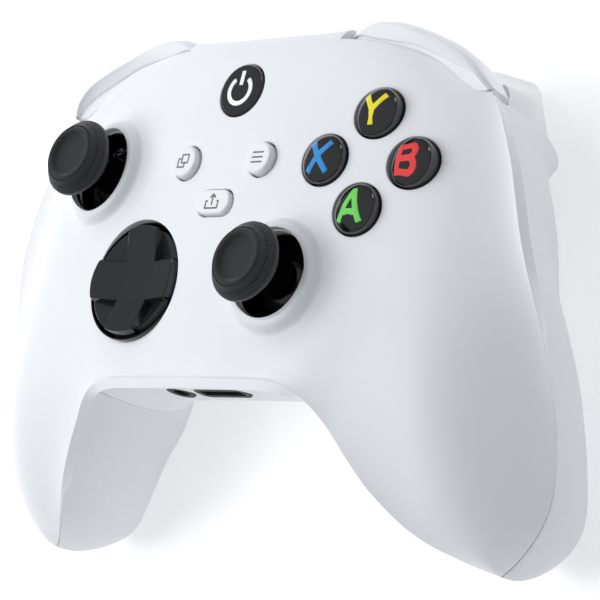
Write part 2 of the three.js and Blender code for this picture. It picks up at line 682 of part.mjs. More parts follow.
const SMALL_BUTTON_PROUD = 1.5;
const SMALL_FLANGE_DROP = 1.2;
const SMALL_FLANGE = 0.9;
for (const [label, place] of Object.entries(SMALL_BUTTONS)) {
  const flangeTop = place.z - WALL - SMALL_FLANGE_DROP;
  const rim = place.z + SMALL_BUTTON_PROUD;
  const profile = [
    [0, flangeTop - SMALL_FLANGE], [SMALL_BUTTON_R + 1, flangeTop - SMALL_FLANGE],
    [SMALL_BUTTON_R + 1, flangeTop], [SMALL_BUTTON_R, flangeTop], [SMALL_BUTTON_R, rim - 0.7],
    [SMALL_BUTTON_R - 0.7, rim], [0, rim],
  ];
  piece(label + "_button", turned(profile, 14), WHITE, [place.x, place.y, 0]);
}
const SHARE_PROUD = 0.9;
const shareFlangeTop = SHARE.z - WALL - SMALL_FLANGE_DROP;
const shareFoot = shareFlangeTop - 0.2; // runs into the flange
const shareOutline = roundedRectangle(SHARE_WIDTH, SHARE_HEIGHT, SHARE_CORNER);
const shareButton = joined(
  extruded(shareOutline, SHARE.z + SHARE_PROUD - shareFoot).translate(0, 0, shareFoot),
  extruded(roundedRectangle(SHARE_WIDTH + 1.6, SHARE_HEIGHT + 1.6, SHARE_CORNER), SMALL_FLANGE)
    .translate(0, 0, shareFlangeTop - SMALL_FLANGE),
);
piece("share_button", shareButton, WHITE, [SHARE.x, SHARE.y, 0]);

const GUIDE_PROUD = 0.35;
const guideFlangeTop = GUIDE.z - WALL - SMALL_FLANGE_DROP;
const guideProfile = [
  [0, guideFlangeTop - 1.6], [2.2, guideFlangeTop - 1.6], [2.2, guideFlangeTop - SMALL_FLANGE],
  [GUIDE_R + 1, guideFlangeTop - SMALL_FLANGE], [GUIDE_R + 1, guideFlangeTop],
  [GUIDE_R, guideFlangeTop], [GUIDE_R, GUIDE.z + GUIDE_PROUD - 0.4],
  [GUIDE_R - 0.5, GUIDE.z + GUIDE_PROUD], [0, GUIDE.z + GUIDE_PROUD + 0.15],
];
piece("guide_button", turned(guideProfile, 20), BLACK_GLOSS, [GUIDE.x, GUIDE.y, 0]);
const guideLampTop = guideFlangeTop - 1.6 - SMALL_BUTTON_TRAVEL - GAP;
const lampProfile = [
  [3.2, guideLampTop - 1.6], [6, guideLampTop - 1.6], [6, guideLampTop], [3.2, guideLampTop],
  [3.2, guideLampTop - 1.6],
];
piece("guide_light_ring", turned(lampProfile, 16), LIGHT_GUIDE, [GUIDE.x, GUIDE.y, 0]);

// ---- Direction pad ----
const DPAD_R = DPAD_HOLE_R - 0.75;
const DPAD_PIVOT_DROP = 3; // its tilt centre under the face
const CROSS_WIDTH = 8.2;
const CROSS_REACH = DPAD_R - 0.7;
const dishProfile = [
  [0, -5.6], [3, -5.6], [3, -3.6], [DPAD_R - 1, -3.6], [DPAD_R, -2.8], [DPAD_R, -0.7],
  [DPAD_R - 0.5, -0.3], [DPAD_R - 1.6, -0.5], [6, -2.1], [0, -2.3],
];
const crossArm = (w, h) => box(-w / 2, w / 2, -h / 2, h / 2, -3, 0.6);
const dpadCap = joined(
  turned(dishProfile, 24),
  crossArm(CROSS_WIDTH, 2 * CROSS_REACH),
  crossArm(2 * CROSS_REACH, CROSS_WIDTH),
);
piece("dpad_cap", cut(dpadCap, turned([[0, 0.1], [4.5, 0.6], [4.5, 4], [0, 4]], 12)), BLACK_GLOSS,
  [DPAD.x, DPAD.y, DPAD.z]);
const plateTop = DPAD.z - 5.6 - GAP;
const SPRING = { reach: 8.5, half: 2.2, thickness: 0.5 };
const springArm = (x, y) => box(-x, x, -y, y, plateTop - SPRING.thickness, plateTop);
const springPlate = joined(
  springArm(SPRING.reach, SPRING.half),
  springArm(SPRING.half, SPRING.reach),
);
piece("dpad_spring_plate", springPlate, STEEL, [DPAD.x, DPAD.y, 0]);

// ---- Thumbsticks ----
const PIVOT_DROP = 9; // a stick's tilt centre under the face
const DOME_R = 8.4;
const DOME_WALL = 1;
const BALL_R = 3.4;
const NECK_R = 3.6;
const CAP_BASE = 6.5; // underside of the cap above the face
const LEVER_TOP = CAP_BASE + 1.2;
const TAIL = 4.6;
const RING_INNER_R = 4.2;
const RING_OUTER_R = 6;
const MODULE_HALF = 8.5;
const MODULE_DEPTH = 7;
const MODULE_FLOOR = 1;

function arc(radius, from, to, steps) {
  const points = [];
  for (let i = 0; i <= steps; i++) {
    const angle = (from + ((to - from) * i) / steps) * DEG;
    points.push([radius * Math.sin(angle), radius * Math.cos(angle)]);
  }
  return points;
}

const DOME_EDGE = 60; // degrees from the top of the dome to its rim
const SHAFT_INNER_R = 2;
const neckAngle = Math.asin(NECK_R / DOME_R) / DEG;
const innerDomeR = DOME_R - DOME_WALL;
const leverProfile = [
  [0, -TAIL], [1.2, -TAIL],
  ...arc(BALL_R, 159, 36, 4),
  [SHAFT_INNER_R, Math.sqrt(innerDomeR ** 2 - SHAFT_INNER_R ** 2)],
  ...arc(innerDomeR, 30, DOME_EDGE, 2),
  ...arc(DOME_R, DOME_EDGE, neckAngle, 3),
  [NECK_R, PIVOT_DROP + CAP_BASE - STICK_CLICK - GAP],
  [3.5, PIVOT_DROP + CAP_BASE - STICK_CLICK - GAP], [3.5, PIVOT_DROP + LEVER_TOP],
  [0, PIVOT_DROP + LEVER_TOP],
];
const socketTop = LEVER_TOP + STICK_CLICK + GAP;
const capProfile = [
  [0, socketTop], [3.5 + GAP, socketTop], [3.5 + GAP, CAP_BASE], [STICK_CAP_R - 1.2, CAP_BASE],
  [STICK_CAP_R, CAP_BASE + 0.9], [STICK_CAP_R, STICK_CAP_TOP - 1.1],
  [STICK_CAP_R - 0.6, STICK_CAP_TOP - 0.2], [STICK_CAP_R - 1.4, STICK_CAP_TOP],
  [STICK_CAP_R - 2.2, STICK_CAP_TOP - 0.7], [3, socketTop + 0.8], [0, socketTop + 0.65],
];
for (const [label, place] of Object.entries(STICKS)) {
  const pivot = [place.x, place.y, place.z - PIVOT_DROP];
  piece("stick_cap_" + label, turned(capProfile, 20), RUBBER, [place.x, place.y, place.z]);
  piece("stick_lever_" + label, turned(leverProfile, 14), BLACK_GLOSS, pivot);
  const ring = turned([
    [RING_INNER_R, -1.5], [RING_OUTER_R, -1.5], [RING_OUTER_R, 1.5], [RING_INNER_R, 1.5],
    [RING_INNER_R, -1.5],
  ], 16);
  const trunnions = SIDES.map(({ side }) => placed(cylinder(1, 2, 12), [side * 6.6, 0, 0], TO_X));
  piece("stick_yoke_" + label, joined(ring, ...trunnions), BLACK_MATTE, pivot);
  const pocketDepth = MODULE_DEPTH + 1;
  const pocket = placed(
    cylinder(RING_OUTER_R + 0.9, pocketDepth),
    [0, 0, 1 - MODULE_DEPTH + MODULE_FLOOR + pocketDepth / 2 - 1],
    TO_Z,
  );
  const slots = SIDES.map(({ side }) => box(
    Math.min(0, side * 7.9), Math.max(0, side * 7.9), -1.35, 1.35, -1.35, 4,
  ));
  const housing = box(-MODULE_HALF, MODULE_HALF, -MODULE_HALF, MODULE_HALF, -MODULE_DEPTH, 1);
  piece("stick_module_" + label, cut(housing, pocket, ...slots), BLACK_MATTE, pivot);
}

// ---- Circuit board ----
const lowestPivot = Math.min(STICKS.left.z, STICKS.right.z) - PIVOT_DROP;
const boardTop = lowestPivot - MODULE_DEPTH - GAP;
function boardOutline() {
  const shape = new THREE.Shape();
  const corners = [
    [-46, -34], [46, -34], [46, 7], [25, 10], [22, 21], [-22, 21], [-25, 10], [-46, 7],
  ].map(([x, y]) => [x * stretchX, y * stretchY]);
  shape.moveTo(...corners[0]);
  corners.slice(1).forEach(([x, y]) => shape.lineTo(x, y));
  return shape;
}
piece("main_board", extruded(boardOutline(), BOARD).translate(0, 0, boardTop - BOARD), GREEN_BOARD);

// ---- Ports and the pairing button ----
const usbShell = cut(
  extruded(roundedRectangle(USB.width, USB.height, USB.height / 2 - 0.01), USB.depth),
  extruded(roundedRectangle(USB.width - 0.7, USB.height - 0.7, (USB.height - 0.72) / 2), 10)
    .translate(0, 0, -5),
);
piece("usb_port", usbShell, STEEL, [0, 29 * stretchY, USB.z], [Math.PI / 2, 0, 0]);
const pairY = 27 * stretchY;
const pairProfile = [
  [0, 0], [PAIR_BUTTON.radius + 0.8, 0], [PAIR_BUTTON.radius + 0.8, -0.6],
  [PAIR_BUTTON.radius, -0.6], [PAIR_BUTTON.radius, -3], [0, -3],
].reverse();
piece("pair_button", turned(pairProfile, 16), WHITE, [PAIR_BUTTON.x, pairY - 0.9, PAIR_BUTTON.z],
  [Math.PI / 2, 0, 0]);
const jack = cut(cylinder(JACK.radius, JACK.depth), cylinder(JACK.bore, JACK.depth + 2, 12));
piece("headphone_jack", jack, BLACK_MATTE, [JACK.x, chinY + JACK.depth / 2 + CHIN_INSET, JACK.z]);
const plugHalf = EXPANSION.width / 2;
const slotHalf = plugHalf - EXPANSION_WALL;
const expansion = cut(
  box(-plugHalf, plugHalf, 0, EXPANSION.depth, -EXPANSION.height / 2, EXPANSION.height / 2),
  box(-slotHalf, slotHalf, -1, EXPANSION.depth - EXPANSION_WALL,
    -EXPANSION.slot / 2, EXPANSION.slot / 2),
);
piece("expansion_port", expansion, BLACK_MATTE, [0, chinY + CHIN_INSET, EXPANSION.z]);

// ---- Rumble motors ----
const MOTOR_R = 8.5;
const MOTOR_LENGTH = 10.5;
const WEIGHT_LENGTH = 5;
const SHAFT_ROOM = 1.2; // between a motor and its weight
const MOTOR = { x: 49.6, y: -35, z: -31 }; // the motor's inner end on the drawn body
const PULSE_MOTOR = { x: 9, y: 19.4, z: -25.6, radius: 3, length: 8, weight: 3.4, shaft: 0.6 };
function halfDisc(radius, length) {
  const shape = new THREE.Shape();
  shape.absarc(0, 0, radius, Math.PI, 2 * Math.PI);
  return extruded(shape, length, 6);
}
// An eccentric weight and its stub shaft, along +X from its inner face.
function weight(radius, length, shaftR) {
  const disc = placed(halfDisc(radius, length), [0, 0, 0], [Math.PI / 2, 0, Math.PI / 2]);
  const hub = placed(cylinder(shaftR + 1.2, length, 12), [length / 2, 0, 0], TO_X);
  const stub = placed(cylinder(shaftR, length + 4, 12), [length / 2 - 2, 0, 0], TO_X);
  return joined(disc, hub, stub);
}
function motor(radius, length, shaftR) {
  const can = placed(cylinder(radius, length), [length / 2, 0, 0], TO_X);
  return cut(can, placed(cylinder(shaftR + GAP, 10, 12), [length, 0, 0], TO_X));
}
for (const { side, label } of SIDES) {
  const gripMotor = geometryOf(motor(MOTOR_R, MOTOR_LENGTH, 1));
  const gripWeight = geometryOf(weight(MOTOR_R - 0.8, WEIGHT_LENGTH, 1))
    .translate(MOTOR_LENGTH + SHAFT_ROOM, 0, 0);
  const gripPlace = [side * MOTOR.x * stretchX, MOTOR.y * stretchY, MOTOR.z * stretchZ];
  const { radius, length, shaft } = PULSE_MOTOR;
  const pulseMotor = geometryOf(motor(radius, length, shaft));
  const pulseWeight = geometryOf(weight(radius - 0.3, PULSE_MOTOR.weight, shaft))
    .translate(length + 1, 0, 0);
  const pulsePlace = [
    side * PULSE_MOTOR.x * stretchX, PULSE_MOTOR.y * stretchY, PULSE_MOTOR.z * stretchZ,
  ];
  const facing = (geometry) => (side > 0 ? geometry : mirrored(geometry));
  piece("grip_motor_" + label, facing(gripMotor), STEEL, gripPlace);
  piece("grip_weight_" + label, facing(gripWeight), STEEL, gripPlace);
  piece("trigger_motor_" + label, facing(pulseMotor), STEEL, pulsePlace);
  piece("trigger_weight_" + label, facing(pulseWeight), STEEL, pulsePlace);
}

// ---- Screws up into the front shell's bosses ----
const screwProfile = [
  [0, -1.8], [SCREW_HEAD_R, -1.8], [SCREW_HEAD_R, 0], [SCREW_R, 0], [SCREW_R, SCREW_LENGTH],
  [0, SCREW_LENGTH],
];
for (const place of SCREW_SPOTS) {
  const under = place.z - WALL - BOSS_LENGTH - GAP;
  piece(place.name, turned(screwProfile, 10), STEEL, [place.x, place.y, under]);
}

// ---- The way the controller lies: on its door and grips, centred over the origin ----
controller.rotation.x = -REST_TILT * DEG;
controller.updateMatrixWorld(true);
const bounds = new THREE.Box3().setFromObject(controller, true);
const centre = bounds.getCenter(new THREE.Vector3());
controller.position.set(-centre.x, -centre.y, -bounds.min.z);
controller.updateMatrixWorld(true);

export default controller;
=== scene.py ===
"""A white wireless game controller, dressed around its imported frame.

Shapes are drawn in the controller's face frame, in millimetres: the origin is on the face midway
between the view and menu buttons, +Z points out of the face and +Y towards the bumpers. FaceFrame
turns them into the frame's metres. Each sub-assembly is a class that holds its own sizes.
"""

import json
import logging
import math
from dataclasses import dataclass, field
from enum import Enum
from typing import Dict, List, Optional, Sequence, Tuple

import bmesh
import bpy
import numpy as np
from mathutils import Matrix, Vector
from mathutils.geometry import delaunay_2d_cdt


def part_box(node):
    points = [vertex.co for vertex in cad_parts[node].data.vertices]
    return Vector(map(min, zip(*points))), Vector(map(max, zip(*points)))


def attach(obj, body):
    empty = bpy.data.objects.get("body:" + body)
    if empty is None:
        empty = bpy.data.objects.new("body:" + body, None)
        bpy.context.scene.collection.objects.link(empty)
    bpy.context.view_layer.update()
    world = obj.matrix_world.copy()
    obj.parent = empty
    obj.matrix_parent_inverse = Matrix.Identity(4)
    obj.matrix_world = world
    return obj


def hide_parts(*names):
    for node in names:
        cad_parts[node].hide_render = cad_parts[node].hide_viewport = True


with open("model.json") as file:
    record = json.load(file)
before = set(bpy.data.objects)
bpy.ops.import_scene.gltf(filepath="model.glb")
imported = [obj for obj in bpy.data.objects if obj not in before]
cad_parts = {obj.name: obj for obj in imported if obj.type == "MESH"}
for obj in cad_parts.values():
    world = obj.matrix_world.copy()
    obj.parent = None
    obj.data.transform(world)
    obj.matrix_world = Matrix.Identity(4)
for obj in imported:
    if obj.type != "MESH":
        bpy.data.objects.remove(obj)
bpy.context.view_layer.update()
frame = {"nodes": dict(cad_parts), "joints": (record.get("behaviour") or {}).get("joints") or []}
LOG = logging.getLogger("controller")

MM = 0.001
SIDES = ((1, "right"), (-1, "left"))
Point2 = Tuple[float, float]
Point3 = Tuple[float, float, float]


# ---- Small mathematics ----------------------------------------------------------------------


def smooth(low: float, high: float, value: np.ndarray) -> np.ndarray:
    """A smooth step from 0 at low to 1 at high."""
    share = np.clip((np.asarray(value, float) - low) / (high - low), 0, 1)
    return share * share * (3 - 2 * share)


def mix(start: np.ndarray, end: np.ndarray, share: np.ndarray) -> np.ndarray:
    """The value share of the way from start to end."""
    return start + (end - start) * share


def arc(centre: Point2, radius: float, start: float, end: float, steps: int) -> List[Point2]:
    """Points on a circle's arc.

    Args:
        centre: the circle's centre.
        radius: its radius.
        start: first angle in degrees, from the first axis.
        end: last angle in degrees.
        steps: how many straight steps the arc takes.

    Returns:
        steps + 1 points.
    """
    angles = np.radians(np.linspace(start, end, steps + 1))
    return [(centre[0] + radius * math.cos(a), centre[1] + radius * math.sin(a)) for a in angles]


def rounded_line(points: Sequence[Point2], radius: float, steps: int = 4) -> List[Point2]:
    """A polyline with its inner corners rounded.

    Args:
        points: the corners.
        radius: the rounding, which is less where a side is short.
        steps: straight steps in each rounded corner.

    Returns:
        The new points, with the first and the last as they were.
    """
    made: List[Point2] = [tuple(points[0])]
    for before, corner, after in zip(points, points[1:], points[2:]):
        a, b, c = (np.array(p, float) for p in (before, corner, after))
        reach = min(radius, 0.45 * np.linalg.norm(a - b), 0.45 * np.linalg.norm(c - b))
        start = b + (a - b) / max(np.linalg.norm(a - b), 1e-9) * reach
        end = b + (c - b) / max(np.linalg.norm(c - b), 1e-9) * reach
        for k in range(steps + 1):
            t = k / steps
            made.append(tuple((1 - t) ** 2 * start + 2 * t * (1 - t) * b + t * t * end))
    made.append(tuple(points[-1]))
    return made


def rounded_rectangle(width: float, height: float, radius: float, steps: int = 8) -> List[Point2]:
    """A closed outline with four round corners, anticlockwise about the origin.

    Args:
        width: its size along x.
        height: its size along y.
        radius: radius of its corners.
        steps: steps in each corner.

    Returns:
        The outline's points.
    """
    x, y = width / 2 - radius, height / 2 - radius
    outline: List[Point2] = []
    for cx, cy, start in ((x, y, 0), (-x, y, 90), (-x, -y, 180), (x, -y, 270)):
        outline += arc((cx, cy), radius, start, start + 90, steps)
    return outline


def inside(polygon: np.ndarray, points: np.ndarray) -> np.ndarray:
    """Which points lie in a closed polygon, by counting the sides that a ray crosses.

    Args:
        polygon: the polygon's corners.
        points: x and y pairs.

    Returns:
        True for each point inside.
    """
    result = np.zeros(len(points), bool)
    px, py = points[:, 0], points[:, 1]
    for (x0, y0), (x1, y1) in zip(polygon, np.roll(polygon, -1, axis=0)):
        crosses = (y0 > py) != (y1 > py)
        if y0 != y1:
            result ^= crosses & (px < (x1 - x0) * (py - y0) / (y1 - y0) + x0)
    return result


# ---- The face frame --------------------------------------------------------------------------


@dataclass(frozen=True)
class FaceFrame:
    """The frame that the controller is drawn in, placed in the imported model's frame."""

    matrix: Matrix

    @classmethod
    def from_joints(cls, joints: Sequence[dict], known: Dict[str, Point3]) -> "FaceFrame":
        """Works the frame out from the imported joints.

        Args:
            joints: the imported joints; the face buttons are pressed straight into the face.
            known: places of hinge joints in the face frame, in millimetres.

        Returns:
            The face frame.
        """
        by_name = {joint["name"]: joint for joint in joints}
        press = Vector(by_name["press_a"]["axis"])
        turn = Matrix.Rotation(-math.atan2(-press.y, -press.z), 4, "X")
        offset = Vector()
        for name, place in known.items():
            offset += Vector(by_name[name]["pos_m"]) - turn @ (Vector(place) * MM)
        offset /= len(known)
        return cls(Matrix.Translation(offset) @ turn @ Matrix.Diagonal((MM, MM, MM, 1)))

    def to_part(self, points: np.ndarray) -> np.ndarray:
        """Points of the face frame, in millimetres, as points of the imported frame, in metres."""
        matrix = np.array(self.matrix)
        return np.asarray(points, float) @ matrix[:3, :3].T + matrix[:3, 3]

    def direction(self, vector: Point3) -> Vector:
        """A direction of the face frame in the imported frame."""
        return (self.matrix.to_3x3() @ Vector(vector)).normalized()

    def box(self, node: str) -> Tuple[np.ndarray, np.ndarray]:
        """Lowest and highest corner of a node in the face frame, in millimetres.

        Args:
            node: the node's name.

        Returns:
            The two corners.
        """
        inverse = np.array(self.matrix.inverted())
        points = np.array([v.co for v in frame["nodes"][node].data.vertices])
        local = points @ inverse[:3, :3].T + inverse[:3, 3]
        return local.min(0), local.max(0)

    def middle(self, node: str) -> np.ndarray:
        """Middle of a node's box in the face frame, in millimetres."""
        low, high = self.box(node)
        return (low + high) / 2


# ---- Finishes --------------------------------------------------------------------------------


def linear(colour: str) -> Tuple[float, float, float, float]:
    """An sRGB hex colour as linear values with full alpha.

    Args:
        colour: a hash sign and six hex digits.

    Returns:
        Red, green, blue and alpha.
    """
    channels = [int(colour[i : i + 2], 16) / 255 for i in (1, 3, 5)]
    turned = [c / 12.92 if c <= 0.04045 else ((c + 0.055) / 1.055) ** 2.4 for c in channels]
    return (turned[0], turned[1], turned[2], 1.0)


def add_node(tree: bpy.types.NodeTree, kind: str, settings: Optional[dict] = None,
             inputs: Optional[dict] = None) -> bpy.types.Node:
    """Adds a node with its settings and its inputs.

    Args:
        tree: the tree that gets the node.
        kind: the node's type name.
        settings: properties of the node.
        inputs: values or output sockets, by the input's name or number.

    Returns:
        The new node.
    """
    node = tree.nodes.new(kind)
    for name, value in (settings or {}).items():
        setattr(node, name, value)
    for name, value in (inputs or {}).items():
        if isinstance(value, bpy.types.NodeSocket):
            tree.links.new(value, node.inputs[name])
        else:
            node.inputs[name].default_value = value
    return node


@dataclass(frozen=True)
class Finish:
    """A material: what the piece is made of and how its surface was made."""

    name: str
    slot: str
    colour: str
    roughness: float
    metallic: float = 0.0
    ior: float = 1.5
    coat: float = 0.0
    grain_mm: float = 0.0  # width of the surface grain
    grain_depth_mm: float = 0.0
    mottle: str = ""  # the other end of a slight drift of tone
    roughness_spread: float = 0.0
    sheen: float = 0.0

    def build(self) -> bpy.types.Material:
        """Makes the material, once.

        Returns:
            The node material, ready to be put on a piece.
        """
        found = bpy.data.materials.get(self.name)
        if found:
            return found
        material = bpy.data.materials.new(self.name)
        material.use_nodes = True
        tree = material.node_tree
        tree.nodes.clear()
        shader = add_node(tree, "ShaderNodeBsdfPrincipled", inputs={
            "Base Color": linear(self.colour),
            "Roughness": self.roughness,
            "Metallic": self.metallic,
            "IOR": self.ior,
            "Coat Weight": self.coat,
            "Coat Roughness": 0.05,
            "Sheen Weight": self.sheen,
        })
        place = add_node(tree, "ShaderNodeTexCoord").outputs["Object"]
        if self.mottle:
            self._drift(tree, shader, place)
        if self.grain_mm:
            self._grain(tree, shader, place)
        add_node(tree, "ShaderNodeOutputMaterial", inputs={"Surface": shader.outputs["BSDF"]})
        return material

    def _drift(self, tree: bpy.types.NodeTree, shader: bpy.types.Node,
               place: bpy.types.NodeSocket) -> None:
        """Lets the tone and the roughness drift slightly over a few centimetres, as mouldings do.

        Args:
            tree: the material's tree.
            shader: its shader.
            place: the coordinates to use.
        """
        noise = add_node(tree, "ShaderNodeTexNoise", inputs={
            "Vector": place, "Scale": 1 / (24 * MM), "Detail": 3.0, "Roughness": 0.55})
        tone = add_node(tree, "ShaderNodeMix", {"data_type": "RGBA"}, {
            0: noise.outputs["Fac"], 6: linear(self.colour), 7: linear(self.mottle)})
        tree.links.new(tone.outputs[2], shader.inputs["Base Color"])
        if self.roughness_spread:
            spread = add_node(tree, "ShaderNodeMapRange", inputs={
                "Value": noise.outputs["Fac"],
                "To Min": self.roughness - self.roughness_spread,
                "To Max": self.roughness + self.roughness_spread})
            tree.links.new(spread.outputs["Result"], shader.inputs["Roughness"])

    def _grain(self, tree: bpy.types.NodeTree, shader: bpy.types.Node,
               place: bpy.types.NodeSocket) -> None:
        """Adds the fine grain that a spark-eroded mould leaves.

        Args:
            tree: the material's tree.
            shader: its shader.
            place: the coordinates to use.
        """
        noise = add_node(tree, "ShaderNodeTexNoise", inputs={
            "Vector": place, "Scale": 1 / (self.grain_mm * MM), "Detail": 2.0, "Roughness": 0.6})
        bump = add_node(tree, "ShaderNodeBump", inputs={
            "Height": noise.outputs["Fac"], "Distance": self.grain_depth_mm * MM, "Strength": 1.0})
        tree.links.new(bump.outputs["Normal"], shader.inputs["Normal"])


class Finishes(Enum):
    """Every finish on the controller."""

    # Injection-moulded ABS from a spark-eroded mould: a soft matt white, with a grain drawn at
    # twice its real width so that it shows.
    SHELL = Finish("moulded_abs_white", "white_shell", "#eceef1", 0.46, grain_mm=0.5,
                   grain_depth_mm=0.012, mottle="#e6e9ed", roughness_spread=0.04)
    # The same ABS from a coarser mould, which scatters light more.
    GRIP = Finish("moulded_abs_grip", "white_grip", "#e6e8ec", 0.58, grain_mm=0.6,
                  grain_depth_mm=0.02, mottle="#dfe2e7", roughness_spread=0.04)
    # ABS buttons from a smoother mould, which show a soft highlight on their edges.
    BUTTON = Finish("satin_abs_white", "white_buttons", "#eef0f2", 0.34, grain_mm=0.4,
                    grain_depth_mm=0.004, mottle="#e9ecef", roughness_spread=0.03)
    # Pad-printed ink on the small buttons: a flat mid grey line.
    PRINT = Finish("pad_printed_ink_grey", "white_buttons", "#6f7277", 0.5, grain_mm=0.3,
                   grain_depth_mm=0.002, mottle="#787b80")
    # Polished polycarbonate over a black base: a deep black with sharp highlights.
    DOME = Finish("polished_polycarbonate_black", "black_gloss", "#0c0d0f", 0.07, ior=1.58,
                  coat=0.6, mottle="#101113", grain_mm=3.0, grain_depth_mm=0.002)
    # Moulded ABS with a piano-black polish that has a few faint ripples.
    PAD = Finish("polished_abs_black", "black_gloss", "#17181a", 0.2, coat=0.35,
                 mottle="#1d1e20", grain_mm=0.5, grain_depth_mm=0.004)
    # Acetal that slides against the shell: black with a waxy shine.
    ACETAL = Finish("moulded_acetal_black", "black_gloss", "#090a0b", 0.12, ior=1.48, coat=0.4,
                    mottle="#0e0f10", grain_mm=2.0, grain_depth_mm=0.002)
    # Thermoplastic rubber, matt, with a light bloom where it is touched.
    RUBBER = Finish("thermoplastic_rubber_black", "black_stick_cap", "#232426", 0.62, ior=1.52,
                    mottle="#2b2c2e", grain_mm=0.3, grain_depth_mm=0.012, roughness_spread=0.05,
                    sheen=0.15)
    # Coloured resin under the domes' clear skin: one bright even colour a letter, slightly glossy.
    LETTER_Y = Finish("moulded_letter_yellow", "black_gloss", "#f2e21d", 0.3, coat=0.5,
                      mottle="#e9d71a")
    LETTER_B = Finish("moulded_letter_red", "black_gloss", "#ee3a3c", 0.3, coat=0.5,
                      mottle="#e23336")
    LETTER_X = Finish("moulded_letter_blue", "black_gloss", "#2b93dc", 0.3, coat=0.5,
                      mottle="#2489d1")
    LETTER_A = Finish("moulded_letter_green", "black_gloss", "#74dd61", 0.3, coat=0.5,
                      mottle="#69d256")
    # Frosted acrylic light guide behind the guide button's sign: an even milky white.
    LAMP = Finish("frosted_acrylic_white", "light_guide", "#fbfcfd", 0.3, ior=1.49,
                  mottle="#f4f6f8", grain_mm=0.5, grain_depth_mm=0.003)
    # Glass-filled nylon of the modules and sockets: a dull black that keeps recesses dark.
    NYLON = Finish("moulded_nylon_black", "black_matte", "#161719", 0.6, grain_mm=0.4,
                   grain_depth_mm=0.01, mottle="#1c1d1f")
    # Cold-rolled steel with a thin nickel plate: a bright cool grey.
    STEEL = Finish("nickel_plated_steel", "steel", "#b9bbbe", 0.28, metallic=1.0, grain_mm=0.8,
                   grain_depth_mm=0.003, mottle="#aeb1b5")
    # Epoxy glass board under a solder mask: a dark green with a lacquer shine.
    BOARD = Finish("solder_mask_green", "circuit_board", "#12432a", 0.3, coat=0.3,
                   mottle="#164c31", grain_mm=0.6, grain_depth_mm=0.006)
    # Silicone of the button membrane: a soft mid grey with hardly any shine.
    SILICONE = Finish("moulded_silicone_grey", "membrane", "#9fa3a7", 0.55, ior=1.41,
                      mottle="#a8acb0", grain_mm=0.5, grain_depth_mm=0.006)
    # Shrink film round the cells: a dark grey with a tight shine.
    FILM = Finish("battery_film_grey", "battery_wrap", "#4b5057", 0.3, metallic=0.2,
                  mottle="#555a61", grain_mm=1.5, grain_depth_mm=0.004)


# ---- Meshes ----------------------------------------------------------------------------------


@dataclass
class Form:
    """A mesh in the face frame: points in millimetres and faces that point outwards."""

    points: np.ndarray
    faces: List[Tuple[int, ...]]

    def __add__(self, other: "Form") -> "Form":
        """Both forms as one.

        Args:
            other: the other form.

        Returns:
            The joined form.
        """
        shift = len(self.points)
        faces = self.faces + [tuple(i + shift for i in face) for face in other.faces]
        return Form(np.vstack([self.points, other.points]), faces)

    def moved(self, offset: Point3) -> "Form":
        """The form moved by an offset."""
        return Form(self.points + np.array(offset), self.faces)

    def mirrored(self) -> "Form":
        """The form on the other side of the centre line."""
        return Form(self.points * (-1, 1, 1), [face[::-1] for face in self.faces])


def lathe(profile: Sequence[Point2], centre: Point3, segments: int = 72) -> Form:
    """A solid turned about the face's normal.

    Args:
        profile: radius and height pairs, from the axis at the bottom, out, and back to the axis
            at the top.
        centre: where the profile's origin lies.
        segments: flats round the axis.

    Returns:
        The closed form.
    """
    rings = profile[1:-1]
    angles = np.linspace(0, 2 * math.pi, segments, endpoint=False)
    points = [(0.0, 0.0, profile[0][1]), (0.0, 0.0, profile[-1][1])]
    for radius, height in rings:
        points += [(radius * math.cos(a), radius * math.sin(a), height) for a in angles]
    faces: List[Tuple[int, ...]] = []
    last = 2 + (len(rings) - 1) * segments
    for k in range(segments):
        n = (k + 1) % segments
        faces.append((0, 2 + n, 2 + k))
        faces.append((1, last + k, last + n))
        for r in range(len(rings) - 1):
            low, high = 2 + r * segments, 2 + (r + 1) * segments
            faces.append((low + k, low + n, high + n, high + k))
    return Form(np.array(points) + np.array(centre), faces)


def stacked(layers: Sequence[np.ndarray]) -> Form:
    """A closed solid through loops with the same number of points, from the bottom to the top.

    Args:
        layers: the loops.

    Returns:
        The closed form.
    """
    count = len(layers[0])
    faces: List[Tuple[int, ...]] = [tuple(range(count))[::-1]]
    for r in range(len(layers) - 1):
        for k in range(count):
            n = (k + 1) % count
            faces.append((r * count + k, r * count + n, (r + 1) * count + n, (r + 1) * count + k))
    faces.append(tuple((len(layers) - 1) * count + k for k in range(count)))
    return Form(np.vstack(layers), faces)


def plate(width: float, height: float, corner: float, bottom: float, top: float, edge: float,
          steps: int = 8) -> Form:
    """A round-cornered plate with a rounded upper edge, about the origin.

    Args:
        width: its size along x.
        height: its size along y.
        corner: radius of its corners.
        bottom: height of its underside.
        top: height of its top.
        edge: radius of its upper edge.
        steps: steps in each corner.

    Returns:
        The closed form.
    """
    layers = []
    for inset, z in [(0.0, bottom)] + [
        (edge - x, z) for x, z in arc((0, top - edge), edge, 0, 90, 5)
    ]:
        outline = rounded_rectangle(width - 2 * inset, height - 2 * inset,
                                    max(0.05, corner - inset), steps)
        layers.append(np.array([(x, y, z) for x, y in outline]))
    return stacked(layers)


def welded(points: np.ndarray, triangles: np.ndarray) -> Tuple[np.ndarray, np.ndarray]:
    """Merges points that coincide and drops the triangles that this leaves without area.

    Args:
        points: the points.
        triangles: three point numbers each.

    Returns:
        The points and the triangles that are left.
    """
    _, first, same = np.unique(np.round(points, 3), axis=0, return_index=True,
                               return_inverse=True)
    joined = same.reshape(-1)[triangles]
    whole = ((joined[:, 0] != joined[:, 1]) & (joined[:, 1] != joined[:, 2])
             & (joined[:, 0] != joined[:, 2]))
    return points[first], joined[whole]


